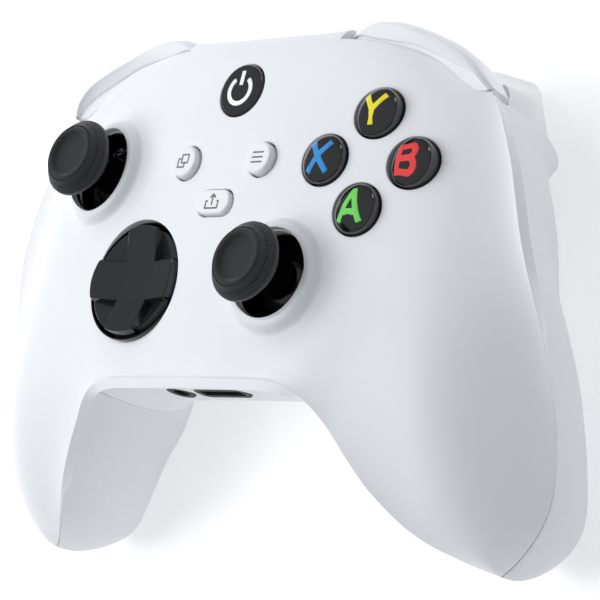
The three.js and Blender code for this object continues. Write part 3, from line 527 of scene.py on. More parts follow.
def point_normals(points: np.ndarray, triangles: np.ndarray) -> np.ndarray:
    """Normals at the points, weighted by the triangles' areas.

    Args:
        points: the points.
        triangles: three point numbers each.

    Returns:
        One unit vector for each point.
    """
    a, b, c = (points[triangles[:, k]] for k in range(3))
    flat = np.cross(b - a, c - a)
    normals = np.zeros_like(points)
    for k in range(3):
        np.add.at(normals, triangles[:, k], flat)
    return normals / np.maximum(np.linalg.norm(normals, axis=1), 1e-12)[:, None]


def thick_sheet(points: np.ndarray, triangles: np.ndarray, thickness: float,
                rounding: float, steps: int = 4) -> Form:
    """Gives a triangulated sheet a wall and rolls its edges over.

    Args:
        points: the sheet's points.
        triangles: the sheet's triangles, anticlockwise from outside.
        thickness: the wall, inwards from the sheet.
        rounding: radius of the rolled edge, which stands out past the sheet's boundary.
        steps: rings in the rolled edge.

    Returns:
        The closed wall.
    """
    points, triangles = welded(points, triangles)
    normals = point_normals(points, triangles)
    sides = np.vstack([triangles[:, [0, 1]], triangles[:, [1, 2]], triangles[:, [2, 0]]])
    known = {tuple(side) for side in sides.tolist()}
    boundary = [side for side in sides.tolist() if (side[1], side[0]) not in known]
    after = {a: b for a, b in boundary}
    before = {b: a for a, b in boundary}
    rim = np.array(sorted(after))
    along = points[[after[i] for i in rim]] - points[[before[i] for i in rim]]
    outward = np.cross(along, normals[rim])
    outward /= np.maximum(np.linalg.norm(outward, axis=1), 1e-9)[:, None]
    rings = []
    for k in range(1, steps + 1):
        angle = math.pi / 2 * k / steps
        rings.append(points[rim] + outward * (rounding * math.sin(angle))
                     - normals[rim] * (rounding * (1 - math.cos(angle))))
    rings.append(points[rim] + outward * rounding - normals[rim] * thickness)
    count, place = len(points), {i: k for k, i in enumerate(rim)}
    faces = [tuple(t) for t in triangles.tolist()]
    faces += [(c + count, b + count, a + count) for a, b, c in triangles.tolist()]
    base = 2 * count
    for a, b in boundary:
        ka, kb = place[a], place[b]
        columns_a = [a] + [base + r * len(rim) + ka for r in range(len(rings))] + [a + count]
        columns_b = [b] + [base + r * len(rim) + kb for r in range(len(rings))] + [b + count]
        for r in range(len(columns_a) - 1):
            faces.append((columns_a[r], columns_a[r + 1], columns_b[r + 1], columns_b[r]))
    return Form(np.vstack([points, points - normals * thickness] + rings), faces)


def make_piece(face: FaceFrame, name: str, form: Form, finish: Finishes, body: str,
               replaces: Sequence[str] = (), sharp: float = 32, bevel: float = 0.0,
               merge: bool = False) -> bpy.types.Object:
    """Makes an object of a form, dresses it and says which body it rides on.

    Args:
        face: the face frame.
        name: the piece's name.
        form: its mesh, in the face frame.
        finish: its finish.
        body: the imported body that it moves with.
        replaces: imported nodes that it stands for.
        sharp: angle in degrees above which an edge stays sharp.
        bevel: width in millimetres of a bevel on the sharp edges.
        merge: whether points that coincide are merged first.

    Returns:
        The new object.
    """
    mesh = bpy.data.meshes.new(name)
    mesh.from_pydata(face.to_part(form.points).tolist(), [], form.faces)
    if merge:
        edit = bmesh.new()
        edit.from_mesh(mesh)
        bmesh.ops.remove_doubles(edit, verts=edit.verts, dist=0.004 * MM)
        bmesh.ops.recalc_face_normals(edit, faces=edit.faces)
        edit.to_mesh(mesh)
        edit.free()
    mesh.validate()
    mesh.shade_smooth()
    mesh.set_sharp_from_angle(angle=math.radians(sharp))
    mesh.materials.append(finish.value.build())
    piece = bpy.data.objects.new(name, mesh)
    bpy.context.scene.collection.objects.link(piece)
    if bevel:
        edges = piece.modifiers.new("Edges", "BEVEL")
        edges.width = bevel * MM
        edges.segments = 3
        edges.limit_method = "ANGLE"
        edges.angle_limit = math.radians(sharp)
        edges.harden_normals = True
        freeze(piece)
    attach(piece, body)
    if replaces:
        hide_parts(*replaces)
    LOG.info("%s: %d faces on %s", name, len(piece.data.polygons), body)
    return piece


def freeze(piece: bpy.types.Object) -> None:
    """Applies a piece's modifiers to a plain mesh.

    Args:
        piece: the piece.
    """
    shown = piece.evaluated_get(bpy.context.evaluated_depsgraph_get())
    mesh = bpy.data.meshes.new_from_object(shown)
    piece.modifiers.clear()
    piece.data = mesh


# ---- The casing's surface --------------------------------------------------------------------


@dataclass(frozen=True)
class EdgeCurve:
    """A centripetal Catmull-Rom curve whose first and last points only steer it."""

    points: Tuple[Point3, ...]

    def at(self, share: np.ndarray) -> np.ndarray:
        """Points on the curve.

        Args:
            share: from 0 at the second point to 1 at the last but one.

        Returns:
            One point for each share.
        """
        points = np.array(self.points, float)
        spans = len(points) - 3
        place = 1 + np.clip(np.asarray(share, float), 0, 1) * spans
        index = np.minimum(np.floor(place).astype(int), len(points) - 3)
        weight = (place - index)[..., None]
        p0, p1, p2, p3 = (points[index + k] for k in (-1, 0, 1, 2))
        d0, d1, d2 = (np.sum((b - a) ** 2, axis=-1, keepdims=True) ** 0.25
                      for a, b in ((p0, p1), (p1, p2), (p2, p3)))
        t1 = ((p1 - p0) / d0 - (p2 - p0) / (d0 + d1) + (p2 - p1) / d1) * d1
        t2 = ((p2 - p1) / d1 - (p3 - p1) / (d1 + d2) + (p3 - p2) / d2) * d1
        square = 3 * (p2 - p1) - 2 * t1 - t2
        cube = 2 * (p1 - p2) + t1 + t2
        return p1 + t1 * weight + square * weight**2 + cube * weight**3


@dataclass(frozen=True)
class Collar:
    """A raised ring in the face round a thumbstick."""

    x: float
    y: float
    lip: float = 1.9
    lip_radius: float = 10.3
    lip_end: float = 11.9
    foot: float = 0.9
    foot_end: float = 16.0

    def lift(self, x: np.ndarray, y: np.ndarray) -> np.ndarray:
        """How far the ring lifts the face at a point: a round lip on a wide low foot.

        Args:
            x: places along x.
            y: places along y.

        Returns:
            One height for each place.
        """
        radius = np.hypot(x - self.x, y - self.y)
        lip = self.lip * (1 - smooth(self.lip_radius, self.lip_end, radius))
        return lip + self.foot * (1 - smooth(self.lip_radius, self.foot_end, radius)) ** 1.5


@dataclass(frozen=True)
class Casing:
    """The outer surface of both shells, as ribs between an inner and an outer edge."""

    outer: EdgeCurve = EdgeCurve((
        (-14, 29.4, -6.2), (0, 29.3, -6), (14, 29.4, -6.2), (29, 30.2, -8), (43.5, 26.4, -9.6),
        (56, 19, -10.6), (64.3, 5, -11.5), (70.6, -15, -15), (74.9, -33, -23.2),
        (76.5, -48, -29.4), (74.2, -61.5, -34.5), (63.2, -73, -38.3), (52, -76, -39)))
    inner: EdgeCurve = EdgeCurve((
        (-8, -44.9, -4.6), (0, -44.8, -4.5), (8, -44.9, -4.6), (16.5, -45, -4.6),
        (23, -45.3, -4.6), (28, -46.5, -5.4), (32, -48.8, -7.6), (35.6, -52.5, -10.6),
        (39.4, -57.6, -13.8), (44, -63.4, -18.4), (51.2, -69.6, -26.8), (63.2, -73, -38.3),
        (74, -74, -44)))
    collars: Tuple[Collar, ...] = ()
    grip_depth: float = 52.6
    rest_y: float = -50.0
    rest_tilt: float = 10.0
    back_lift: float = 15.0
    tip_rounding: float = 14.0
    seam: float = 0.5
    wall: float = 2.2

    def face_height(self, x: np.ndarray, y: np.ndarray) -> np.ndarray:
        """Height of the face: a crown that bends down into the grips.

        Args:
            x: places along x.
            y: places along y.

        Returns:
            One height for each place.
        """
        crown = 0.00166 * x**2 + 2.4e-7 * x**4 + 1.8e-5 * x**2 * y + 0.00188 * (y - 8.5) ** 2
        bend = 0.011 * np.maximum(0, -y - 40) ** 2
        shoulder = 0.016 * np.maximum(0, np.abs(x) - 54) ** 2
        return 0.14 - crown - bend - shoulder

    def rest_plane(self, y: np.ndarray) -> np.ndarray:
        """Height of the plane that the controller lies on."""
        return -self.grip_depth + math.tan(math.radians(self.rest_tilt)) * (y - self.rest_y)

    def back_height(self, x: np.ndarray, y: np.ndarray) -> np.ndarray:
        """Height of the back: flat under the battery door, hollow for the fingers.

        Args:
            x: places along x.
            y: places along y.

        Returns:
            One height for each place.
        """
        wide = np.abs(x)
        along = smooth(-44, -20, y) * (1 - smooth(17, 36, y))
        bulge = (1 - smooth(28, 42, wide)) * along
        grip = smooth(24, 48, wide) * (1 - smooth(-40, 26, y))
        ridge_y = 17 - 0.306 * (wide - 41.4)
        ridge = 0.73 * np.exp(-(((y - ridge_y) / 7) ** 2)) * (1 - smooth(55, 66, wide))
        return self.rest_plane(y) + self.back_lift * (1 - np.maximum(np.maximum(bulge, grip), ridge))

    def surface(self, share: np.ndarray, turn: np.ndarray, front: bool,
                proud: float = 0.0) -> np.ndarray:
        """Points on the casing.

        Args:
            share: along the ribs, from -1 at the left grip's tip to 1 at the right one's.
            turn: over a rib, from -1 at its inner end to 1 at its outer end; equal steps of it
                crowd together at the edges, where the surface turns down.
            front: the face, or the back.
            proud: how far the surface is moved outwards.

        Returns:
            One point for each share and turn.
        """
        across = np.sin(np.asarray(turn, float) * math.pi / 2)
        reach = np.minimum(1, np.abs(share))
        outer, inner = self.outer.at(reach), self.inner.at(reach)
        half = (outer - inner) / 2
        middle = inner + half
        length = np.hypot(half[..., 0], half[..., 1])
        grown = 1 + proud / np.maximum(length, 6.0)
        point = middle + half * (across * grown)[..., None]
        tip = self.outer.at(np.array([1.0]))[0]
        rounding = np.minimum(1, np.hypot(tip[0] - middle[..., 0], tip[1] - middle[..., 1])
                              / self.tip_rounding)
        end = np.sqrt(np.maximum(0, 1 - (1 - rounding) ** 2))
        grip = smooth(0.3, 0.7, reach)
        size = np.abs(across)
        if front:
            soft = smooth(0.14, 0.56, reach)
            power, roll = mix(9.0, 1.9, soft), mix(0.5, 0.85, soft)
            sheet = self.face_height(point[..., 0], point[..., 1]) + proud
            lift = self.seam / 2
        else:
            side = mix(20.0, 2.3, smooth(0.44, 0.6, reach))
            outside = mix(side, 2.3 + 0.7 * smooth(0.72, 0.95, reach), grip)
            power = np.where(across > 0, outside, mix(9.0, 2.5, grip))
            roll = 0.5
            sheet = self.back_height(point[..., 0], point[..., 1]) - proud
            lift = -self.seam / 2
        fall = np.maximum(0, 1 - size**power) ** roll * end
        parting = point[..., 2] + lift
        height = parting + (sheet - parting) * fall
        x = np.where(np.asarray(share) < 0, -point[..., 0], point[..., 0])
        if front:
            for collar in self.collars:
                height = height + collar.lift(x, point[..., 1])
        return np.stack([x, point[..., 1], height], axis=-1)

    def locate(self, points: np.ndarray) -> np.ndarray:
        """Finds the share and the turn of places given by x and y.

        Args:
            points: x and y pairs in millimetres.

        Returns:
            A share and a turn for each place, whichever of face and back it is on.
        """
        table = np.linspace(0, 1, 1601)
        outer, inner = self.outer.at(table), self.inner.at(table)
        rib = outer[:, :2] - inner[:, :2]
        found = []
        for x, y in points:
            gap = np.array([abs(x), y]) - inner[:, :2]
            beside = rib[:, 0] * gap[:, 1] - rib[:, 1] * gap[:, 0]
            change = np.nonzero(np.sign(beside[:-1]) != np.sign(beside[1:]))[0]
            if len(change):
                k = change[0]
                part = beside[k] / (beside[k] - beside[k + 1])
            else:
                k, part = int(np.argmin(np.abs(beside[:-1]))), 0.0
            reach = table[k] + part * (table[k + 1] - table[k])
            a, b = self.inner.at(np.array([reach]))[0], self.outer.at(np.array([reach]))[0]
            span = b[:2] - a[:2]
            across = 2 * float(np.dot(np.array([abs(x), y]) - a[:2], span) / np.dot(span, span)) - 1
            turn = math.asin(max(-1.0, min(1.0, across))) * 2 / math.pi
            found.append((math.copysign(reach, x) if x else reach, turn))
        return np.array(found)

    def outer_share(self, axis: int, value: float, low: float = 0.0, high: float = 1.0) -> float:
        """The share at which the outer edge passes a given x (axis 0) or y (axis 1).

        Args:
            axis: 0 for x, 1 for y.
            value: the place on that axis.
            low: where to start looking.
            high: where to stop looking.

        Returns:
            The share.
        """
        table = np.linspace(low, high, 801)
        edge = self.outer.at(table)[:, axis] - value
        change = np.nonzero(np.sign(edge[:-1]) != np.sign(edge[1:]))[0]
        return float(table[change[0]])

    def inner_share(self, x: float) -> float:
        """The share at which the inner edge passes a given x.

        Args:
            x: the place on x.

        Returns:
            The share.
        """
        table = np.linspace(0, 1, 801)
        edge = self.inner.at(table)[:, 0] - x
        return float(table[np.nonzero(edge > 0)[0][0]])

    def turn_at_height(self, share: float, height: float, side: int = 1) -> float:
        """The turn at which the back's upright edge passes a height, at one side of a rib.

        Args:
            share: along the ribs.
            height: the height.
            side: 1 for the outer edge, -1 for the inner edge.

        Returns:
            The turn.
        """
        turns = side * np.linspace(1, 0.4, 1200)
        heights = self.surface(np.full(1200, share), turns, False)[:, 2]
        return float(turns[int(np.argmax(heights < height))])

    def wall_place(self, x: float, height: float, side: int) -> Tuple[float, float]:
        """Share and turn of a place on the back's upright edge, given by x and height.

        Args:
            x: the place on x.
            height: the height.
            side: 1 for the outer edge, -1 for the inner edge.

        Returns:
            The share and the turn.
        """
        share = self.outer_share(0, abs(x)) if side > 0 else self.inner_share(abs(x))
        share = math.copysign(share, x)
        return share, self.turn_at_height(share, height, side)


@dataclass(frozen=True)
class Window:
    """A hole in a sheet: loops of shares and turns, the opening first, then finer rings."""

    loop: np.ndarray
    rings: Tuple[np.ndarray, ...]

    @classmethod
    def on_sheet(cls, casing: Casing, outline: np.ndarray, centre: Point2,
                 grow: Sequence[float] = (0.5, 1.2)) -> "Window":
        """A window given by x and y.

        Args:
            casing: the casing that it is cut in.
            outline: x and y pairs, anticlockwise.
            centre: a point in its middle.
            grow: how far outside it the finer rings lie; the last one ends the fine part.

        Returns:
            The window.
        """
        outline = np.array(outline) - centre
        size = np.linalg.norm(outline, axis=1)[:, None]
        loops = [casing.locate(outline * (1 + by / size) + centre)
                 for by in (0, *grow, grow[-1] + 0.5)]
        return cls(loops[0], tuple(loops[1:]))

    @classmethod
    def circle(cls, casing: Casing, centre: Sequence[float], radius: float,
               grow: Sequence[float] = (0.5, 1.2), count: int = 72) -> "Window":
        """A round window in a sheet."""
        outline = np.array(arc((0, 0), radius, 0, 360, count)[:-1]) + np.array(centre[:2])
        return cls.on_sheet(casing, outline, (centre[0], centre[1]), grow)

    @classmethod
    def on_wall(cls, casing: Casing, outline: Sequence[Point2], side: int) -> "Window":
        """A window in the upright edge of the back, given by x and z.

        Args:
            casing: the casing that it is cut in.
            outline: x and z pairs.
            side: 1 for the outer edge, -1 for the inner edge.

        Returns:
            The window.
        """
        centre = np.mean(outline, axis=0)
        loops = []
        for by in (1.0, 1.15, 1.3):
            loops.append(np.array([
                casing.wall_place(*(centre + (np.array(p) - centre) * by), side)
                for p in outline]))
        return cls(loops[0], tuple(loops[1:]))


@dataclass(frozen=True)
class SheetCutter:
    """Cuts pieces out of the casing's surface with clean edges."""

    casing: Casing
    step: float = 1.25  # size of the triangles in millimetres
    share_mm: float = 130.0  # length of half the body along its ribs' middles
    turn_mm: float = 45.0  # half of a rib's length

    def cut(self, front: bool, border: np.ndarray, windows: Sequence[Window] = ()
            ) -> Tuple[np.ndarray, np.ndarray]:
        """Triangulates the part of the surface inside a border.

        Args:
            front: the face, or the back.
            border: shares and turns round the piece.
            windows: holes in it.

        Returns:
            The points and the triangles of the sheet.
        """
        scale = np.array([self.share_mm, self.turn_mm])
        loops = [self._fine(np.array(border) * scale)] + [w.loop * scale for w in windows]
        rings = [ring * scale for w in windows for ring in w.rings[:-1]]
        low, high = loops[0].min(0), loops[0].max(0)
        counts = np.maximum(2, ((high - low) / self.step).astype(int))
        grid = np.stack(np.meshgrid(np.linspace(low[0], high[0], counts[0]),
                                    np.linspace(low[1], high[1], counts[1])), -1).reshape(-1, 2)
        grid = grid[inside(loops[0], grid)]
        for window in windows:
            grid = grid[~inside(window.rings[-1] * scale, grid)]
        grid = grid[self._far(grid, loops[0], 0.45 * self.step)]
        sides, start = [], 0
        for loop in loops:
            count = len(loop)
            sides += [(start + k, start + (k + 1) % count) for k in range(count)]
            start += count
        places = [Vector(p) for p in np.vstack(loops + rings + [grid])]
        made, _, cells, *_ = delaunay_2d_cdt(places, sides, [], 0, 1e-5)
        flat = np.array([tuple(p) for p in made])
        cells = np.array([c for c in cells if len(c) == 3])
        centre = flat[cells].mean(1)
        keep = inside(loops[0], centre)
        for loop in loops[1:]:
            keep &= ~inside(loop, centre)
        cells = cells[keep]
        place = flat / scale
        points = self.casing.surface(place[:, 0], place[:, 1], front)
        return points, (cells if front else cells[:, ::-1])

    def _fine(self, loop: np.ndarray) -> np.ndarray:
        """A loop with its long sides divided.

        Args:
            loop: the loop's points.

        Returns:
            The loop with the points added.
        """
        made = []
        for a, b in zip(loop, np.roll(loop, -1, axis=0)):
            count = max(1, int(round(np.linalg.norm(b - a) / (0.8 * self.step))))
            made += [a + (b - a) * k / count for k in range(count)]
        return np.array(made)

    @staticmethod
    def _far(points: np.ndarray, loop: np.ndarray, distance: float) -> np.ndarray:
        """Which points are further than a distance from a loop's points.

        Args:
            points: the points to test.
            loop: the loop's points.
            distance: the distance.

        Returns:
            True for each point that is further.
        """
        result = np.ones(len(points), bool)
        for start in range(0, len(points), 2000):
            part = points[start : start + 2000]
            gaps = np.linalg.norm(part[:, None, :] - loop[None, :, :], axis=2)
            result[start : start + 2000] = gaps.min(1) > distance
        return result


def flat_sheet(polygons: Sequence[np.ndarray], step: float, holes: Sequence[np.ndarray] = (),
               lines: Sequence[np.ndarray] = ()) -> Tuple[np.ndarray, np.ndarray]:
    """Triangulates the union of some flat outlines.

    Args:
        polygons: closed outlines, which may overlap.
        step: size of the triangles.
        holes: outlines that are left open.
        lines: open lines that the triangles follow.

    Returns:
        Flat points and triangles, anticlockwise from above.
    """
    polygons = [np.array(p, float) for p in polygons]
    holes = [np.array(p, float) for p in holes]
    low = np.min([p.min(0) for p in polygons], axis=0)
    high = np.max([p.max(0) for p in polygons], axis=0)
    counts = np.maximum(2, ((high - low) / step).astype(int) + 1)
    grid = np.stack(np.meshgrid(np.linspace(low[0], high[0], counts[0]),
                                np.linspace(low[1], high[1], counts[1])), -1).reshape(-1, 2)
    wanted = np.zeros(len(grid), bool)
    for polygon in polygons:
        wanted |= inside(polygon, grid)
    for hole in holes:
        wanted &= ~inside(hole, grid)
    places, sides = [], []
    for loop in polygons + holes:
        start, count = len(places), len(loop)
        places += [Vector(p) for p in loop]
        sides += [(start + k, start + (k + 1) % count) for k in range(count)]
    for line in lines:
        start = len(places)
        places += [Vector(p) for p in line]
        sides += [(start + k, start + k + 1) for k in range(len(line) - 1)]
    places += [Vector(p) for p in grid[wanted]]
    made, _, cells, *_ = delaunay_2d_cdt(places, sides, [], 0, 1e-5)
    flat = np.array([tuple(p) for p in made])
    cells = np.array([c for c in cells if len(c) == 3])
    centre = flat[cells].mean(1)
    keep = np.zeros(len(cells), bool)
    for polygon in polygons:
        keep |= inside(polygon, centre)
    for hole in holes:
        keep &= ~inside(hole, centre)
    return flat, cells[keep]


def stroke(points: Sequence[Point2], width: float) -> List[np.ndarray]:
    """A pen stroke as overlapping outlines: a bar for each side and a disc for each corner.

    Args:
        points: the stroke's corners.
        width: the pen's width.

    Returns:
        The closed outlines.
    """
    outlines = []
    for a, b in zip(points, points[1:]):
        start, end = np.array(a, float), np.array(b, float)
        along = (end - start) / np.linalg.norm(end - start)
        across = np.array([-along[1], along[0]]) * width / 2
        outlines.append(np.array([start - across, end - across, end + across, start + across]))
    for corner in points[1:-1]:
        outlines.append(np.array(arc(corner, width / 2, 7, 367, 16)[:-1]))
    return outlines


# ---- The casing's pieces -----------------------------------------------------------------------

BUMPER_EDGE = ((21.4, 27.6), (28, 27.1), (33, 26.4), (39, 25.2), (43.5, 23.7), (49, 21.4),
               (53.5, 19.4), (57.2, 17.6), (60.5, 15.4))
GRIP_EDGE = ((29.0, -46.9), (33, -40), (43, -21), (50, -4), (53.5, 12.6))
SPLIT_HEIGHT = -17.3  # lower edge of the bumpers and of the bridge between them
BUMPER_PIVOT = (22.0, 26.7, -11.0)


@dataclass
class Layout:
    """Where the controls are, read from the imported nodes."""

    face: FaceFrame
    stick_left: np.ndarray = field(init=False)
    stick_right: np.ndarray = field(init=False)
    pad: np.ndarray = field(init=False)
    guide: np.ndarray = field(init=False)
    share: np.ndarray = field(init=False)
    small: Dict[str, np.ndarray] = field(init=False)
    letters: Dict[str, np.ndarray] = field(init=False)

    def __post_init__(self) -> None:
        """Reads the middles of the nodes' boxes."""
        self.stick_left = self.face.middle("stick_cap_left")
        self.stick_right = self.face.middle("stick_cap_right")
        self.pad = self.face.middle("dpad_cap")
        self.guide = self.face.middle("guide_button")
        self.share = self.face.middle("share_button")
        self.small = {name: self.face.middle(name) for name in ("view_button", "menu_button")}
        self.letters = {name: self.face.middle("button_" + name) for name in "abxy"}


@dataclass
class Shells:
    """The fixed shells: face, back, grip panels and the bridge between the bumpers."""

    face: FaceFrame
    casing: Casing
    layout: Layout
    roll: float = 0.2  # how much the edges at the seams are rolled over
    button_hole: float = 5.6
    small_hole: float = 3.85
    guide_hole: float = 6.0
    pad_hole: float = 12.75
    stick_hole: float = 9.1
    well_depth: float = 4.6
    # a black ring over each stick well's lower wall stands in for its shade: painted shade
    shade_ring_bore: float = 8.9
    shade_ring_outside: float = 9.14
    shade_ring_depth: float = 5.0
    corner_y: float = 14.5  # where the shells' corner under the bumper's end is
    dot_spacing: float = 0.95
    dot_radius: float = 0.24

    def build(self) -> None:
        """Makes every shell."""
        cutter = SheetCutter(self.casing)
        self._front(cutter)
        self._bridge()
        self._rear(cutter)
        for side, label in SIDES:
            self._panel(cutter, side, label)

    def _front(self, cutter: SheetCutter) -> None:
        """The face, with collars round the thumbsticks and holes for the controls.

        Args:
            cutter: cuts the sheet.
        """
        casing, layout = self.casing, self.layout
        seam = [(x, y - 1.1) for x, y in BUMPER_EDGE[:-1]]
        upper = [tuple(p) for p in casing.locate(np.array(seam))]
        inner_end = (casing.outer_share(0, 21.6), 1.0)
        outer_end = (casing.outer_share(1, self.corner_y, 0.3, 0.7), 1.0)
        right = [inner_end] + upper + [outer_end, (1.0, 1.0), (1.0, -1.0)]
        border = [(-s, t) for s, t in right] + right[::-1]
        windows = [
            Window.circle(casing, spot, self.stick_hole + 0.35,
                          (0.3, 0.6, 0.9, 1.2, 1.5, 1.8, 2.1, 2.4, 2.8, 3.3, 3.9, 4.7, 5.8), 120)
            for spot in (layout.stick_left, layout.stick_right)
        ]
        windows.append(Window.circle(casing, layout.pad, self.pad_hole + 0.3, (0.5, 1.2), 96))
        windows.append(Window.circle(casing, layout.guide, self.guide_hole + self.roll))
        windows += [Window.circle(casing, spot, self.button_hole + self.roll)
                    for spot in layout.letters.values()]
        windows += [Window.circle(casing, spot, self.small_hole + self.roll)
                    for spot in layout.small.values()]
        share = np.array(rounded_rectangle(10.5, 6.3, 2.9)) + layout.share[:2]
        windows.append(Window.on_sheet(casing, share, tuple(layout.share[:2])))
        points, triangles = cutter.cut(True, np.array(border), windows)
        form = thick_sheet(points, triangles, casing.wall, self.roll)
        for spot in (layout.stick_left, layout.stick_right):
            form = form + self._well(spot)
        make_piece(self.face, "visual_front_shell", form, Finishes.SHELL, "root",
                   ["front_shell"], sharp=50)
        # black rings over the lower walls of the stick wells are painted shade
        self._painted_shade_ring(layout.stick_left, "left")
        self._painted_shade_ring(layout.stick_right, "right")
        self._pad_well()

    def _well(self, spot: np.ndarray) -> Form:
        """The tube that hangs under a thumbstick's collar.

        Args:
            spot: the thumbstick's middle.

        Returns:
            The tube.
        """
        height = float(self.casing.face_height(spot[0], spot[1]))
        radius = self.stick_hole
        profile = [(radius + 0.05, 2.0), (radius + 0.05, -self.well_depth),
                   (radius + 1.3, -self.well_depth), (radius + 1.3, -0.5)]
        return ring(profile, (spot[0], spot[1], height), 96)

    def _painted_shade_ring(self, spot: np.ndarray, label: str) -> None:
        """A black ring over the lower wall of a thumbstick's well, below its white lip: painted shade
        for the wall's shaded part.

        Args:
            spot: the thumbstick's middle.
            label: left or right.
        """
        height = float(self.casing.face_height(spot[0], spot[1]))
        profile = [(self.shade_ring_bore, 0.4), (self.shade_ring_bore, -self.shade_ring_depth),
                   (self.shade_ring_outside, -self.shade_ring_depth), (self.shade_ring_outside, 0.5)]
        make_piece(self.face, "visual_stick_painted_shade_" + label,
                   ring(profile, (spot[0], spot[1], height), 96), Finishes.ACETAL, "root")

    def _pad_well(self) -> None:
        """The black wall round the direction pad."""
        spot = self.layout.pad
        height = float(self.casing.face_height(spot[0], spot[1]))
        outer = self.pad_hole + 0.15
        profile = [(outer - 0.25, -0.55), (outer - 0.35, -0.75), (outer - 0.35, -5.2),
                   (outer, -5.2), (outer, -0.6)]
        make_piece(self.face, "visual_pad_well", ring(profile, (spot[0], spot[1], height), 96),
                   Finishes.ACETAL, "root")

    def _bridge(self) -> None:
        """The bridge, with the charging socket's mouth and the pairing button's hole."""
        casing = self.casing
        end = casing.outer_share(0, 20.4)
        shares = np.linspace(-end, end, 25)
        lower = [(s, casing.turn_at_height(s, SPLIT_HEIGHT + 0.3)) for s in shares]
        border = lower + [(end, 1.0), (-end, 1.0)]
        socket = self.face.middle("usb_port")
        mouth = np.array(rounded_rectangle(10.0, 4.3, 2.1)) + (socket[0], socket[2])
        button = self.face.middle("pair_button")
        hole = np.array(arc((button[0], button[2]), 2.4, 0, 360, 32)[:-1])
        windows = [Window.on_wall(casing, mouth.tolist(), 1), Window.on_wall(casing, hole.tolist(), 1)]
        points, triangles = SheetCutter(casing, 0.8).cut(False, np.array(border), windows)
        make_piece(self.face, "visual_top_bridge", thick_sheet(points, triangles, 2.0, self.roll),
                   Finishes.SHELL, "root", ["top_bridge"], sharp=50)

    def _rear(self, cutter: SheetCutter) -> None:
        """The back, open for the triggers and the battery door.

        Args:
            cutter: cuts the sheet.
        """
        casing = self.casing
        seam = casing.locate(np.array([(x - 0.45, y) for x, y in GRIP_EDGE[1:]]))
        foot = (casing.inner_share(GRIP_EDGE[0][0] - 0.45), -1.0)
        outer = casing.locate(np.array([(54.6, 13.3), (26.6, 21.8)]))
        inner_share = casing.outer_share(0, 26.4)
        shares = np.linspace(inner_share, 0, 14)
        upper = [(s, casing.turn_at_height(s, SPLIT_HEIGHT - 0.5)) for s in shares]
        right = [foot] + [tuple(p) for p in seam] + [tuple(p) for p in outer] + upper[:-1]
        border = right + [(-s, t) for s, t in right[::-1]]
        door = self.face.box("battery_door")
        middle = (door[0] + door[1]) / 2
        width, height = door[1][0] - door[0][0], door[1][1] - door[0][1]
        outline = np.array(rounded_rectangle(width + 0.9, height + 0.9, 6.4)) + middle[:2]
        windows = [Window.on_sheet(casing, outline, tuple(middle[:2]))]
        for name, half, tall in (("headphone_jack", 3.3, 3.3), ("expansion_port", 7.5, 2.75)):
            spot = self.face.middle(name)
            mouth = rounded_rectangle(2 * half, 2 * tall, min(half, tall) * 0.98)
            outline = np.array(mouth) + (spot[0], spot[2])
            windows.append(Window.on_wall(casing, outline.tolist(), -1))
        points, triangles = cutter.cut(False, np.array(border), windows)
        make_piece(self.face, "visual_rear_shell",
                   thick_sheet(points, triangles, casing.wall, self.roll), Finishes.SHELL, "root",
                   ["rear_shell"], sharp=50)

    def _panel(self, cutter: SheetCutter, side: int, label: str) -> None:
        """A grip panel with its field of fine dots.

        Args:
            cutter: cuts the sheet.
            side: 1 for right, -1 for left.
            label: right or left.
        """
        casing = self.casing
        seam = [tuple(p) for p in casing.locate(np.array(GRIP_EDGE[1:]))]
        foot = (casing.inner_share(GRIP_EDGE[0][0]), -1.0)
        top = (casing.outer_share(1, self.corner_y, 0.3, 0.7), 1.0)
        along = np.linspace(foot[0], 1, 20)[1:]
        lower = [(s, -1.0) for s in along]
        upper = [(s, 1.0) for s in np.linspace(1, top[0], 30)]
        border = np.array([foot] + lower + upper + seam[::-1]) * (side, 1)
        points, triangles = cutter.cut(False, border)
        form = thick_sheet(points, triangles, casing.wall, self.roll)
        make_piece(self.face, "visual_grip_panel_" + label, form, Finishes.GRIP, "root",
                   ["grip_panel_" + label], sharp=50)
        self._dots(points, triangles, label)

    def _dots(self, points: np.ndarray, triangles: np.ndarray, label: str) -> None:
        """Scatters fine raised dots over a grip panel, away from its edges.

        Args:
            points: the panel's points.
            triangles: the panel's triangles.
            label: right or left.
        """
        points, triangles = welded(points, triangles)
        centre = points[triangles].mean(1)
        wanted = centre[:, 1] < 9
        form = Form(points, [tuple(t) for t in triangles[wanted].tolist()])
        carrier = plain_object("carrier_" + label, self.face, form)
        tree = DotField().tree()
        dots = grown(carrier, tree, {
            "Spacing": self.dot_spacing * MM, "Radius": self.dot_radius * MM, "Seed": 3})
        dress(dots, "visual_grip_dots_" + label, Finishes.GRIP, "root")


def ring(profile: Sequence[Point2], centre: Point3, segments: int) -> Form:
    """A closed ring turned about the face's normal, from an outline that misses the axis.

    Args:
        profile: radius and height pairs.
        centre: where the profile's origin lies.
        segments: flats round the axis.

    Returns:
        The closed form.
    """
    angles = np.linspace(0, 2 * math.pi, segments, endpoint=False)
    count = len(profile)
    points = [(r * math.cos(a), r * math.sin(a), z) for a in angles for r, z in profile]
    area = sum(a[0] * b[1] - b[0] * a[1] for a, b in zip(profile, [*profile[1:], profile[0]]))
    faces = []
    for k in range(segments):
        near, far = k * count, (k + 1) % segments * count
        for i in range(count):
            j = (i + 1) % count
            face = (near + i, far + i, far + j, near + j)
            faces.append(face if area > 0 else face[::-1])
    return Form(np.array(points) + np.array(centre), faces)


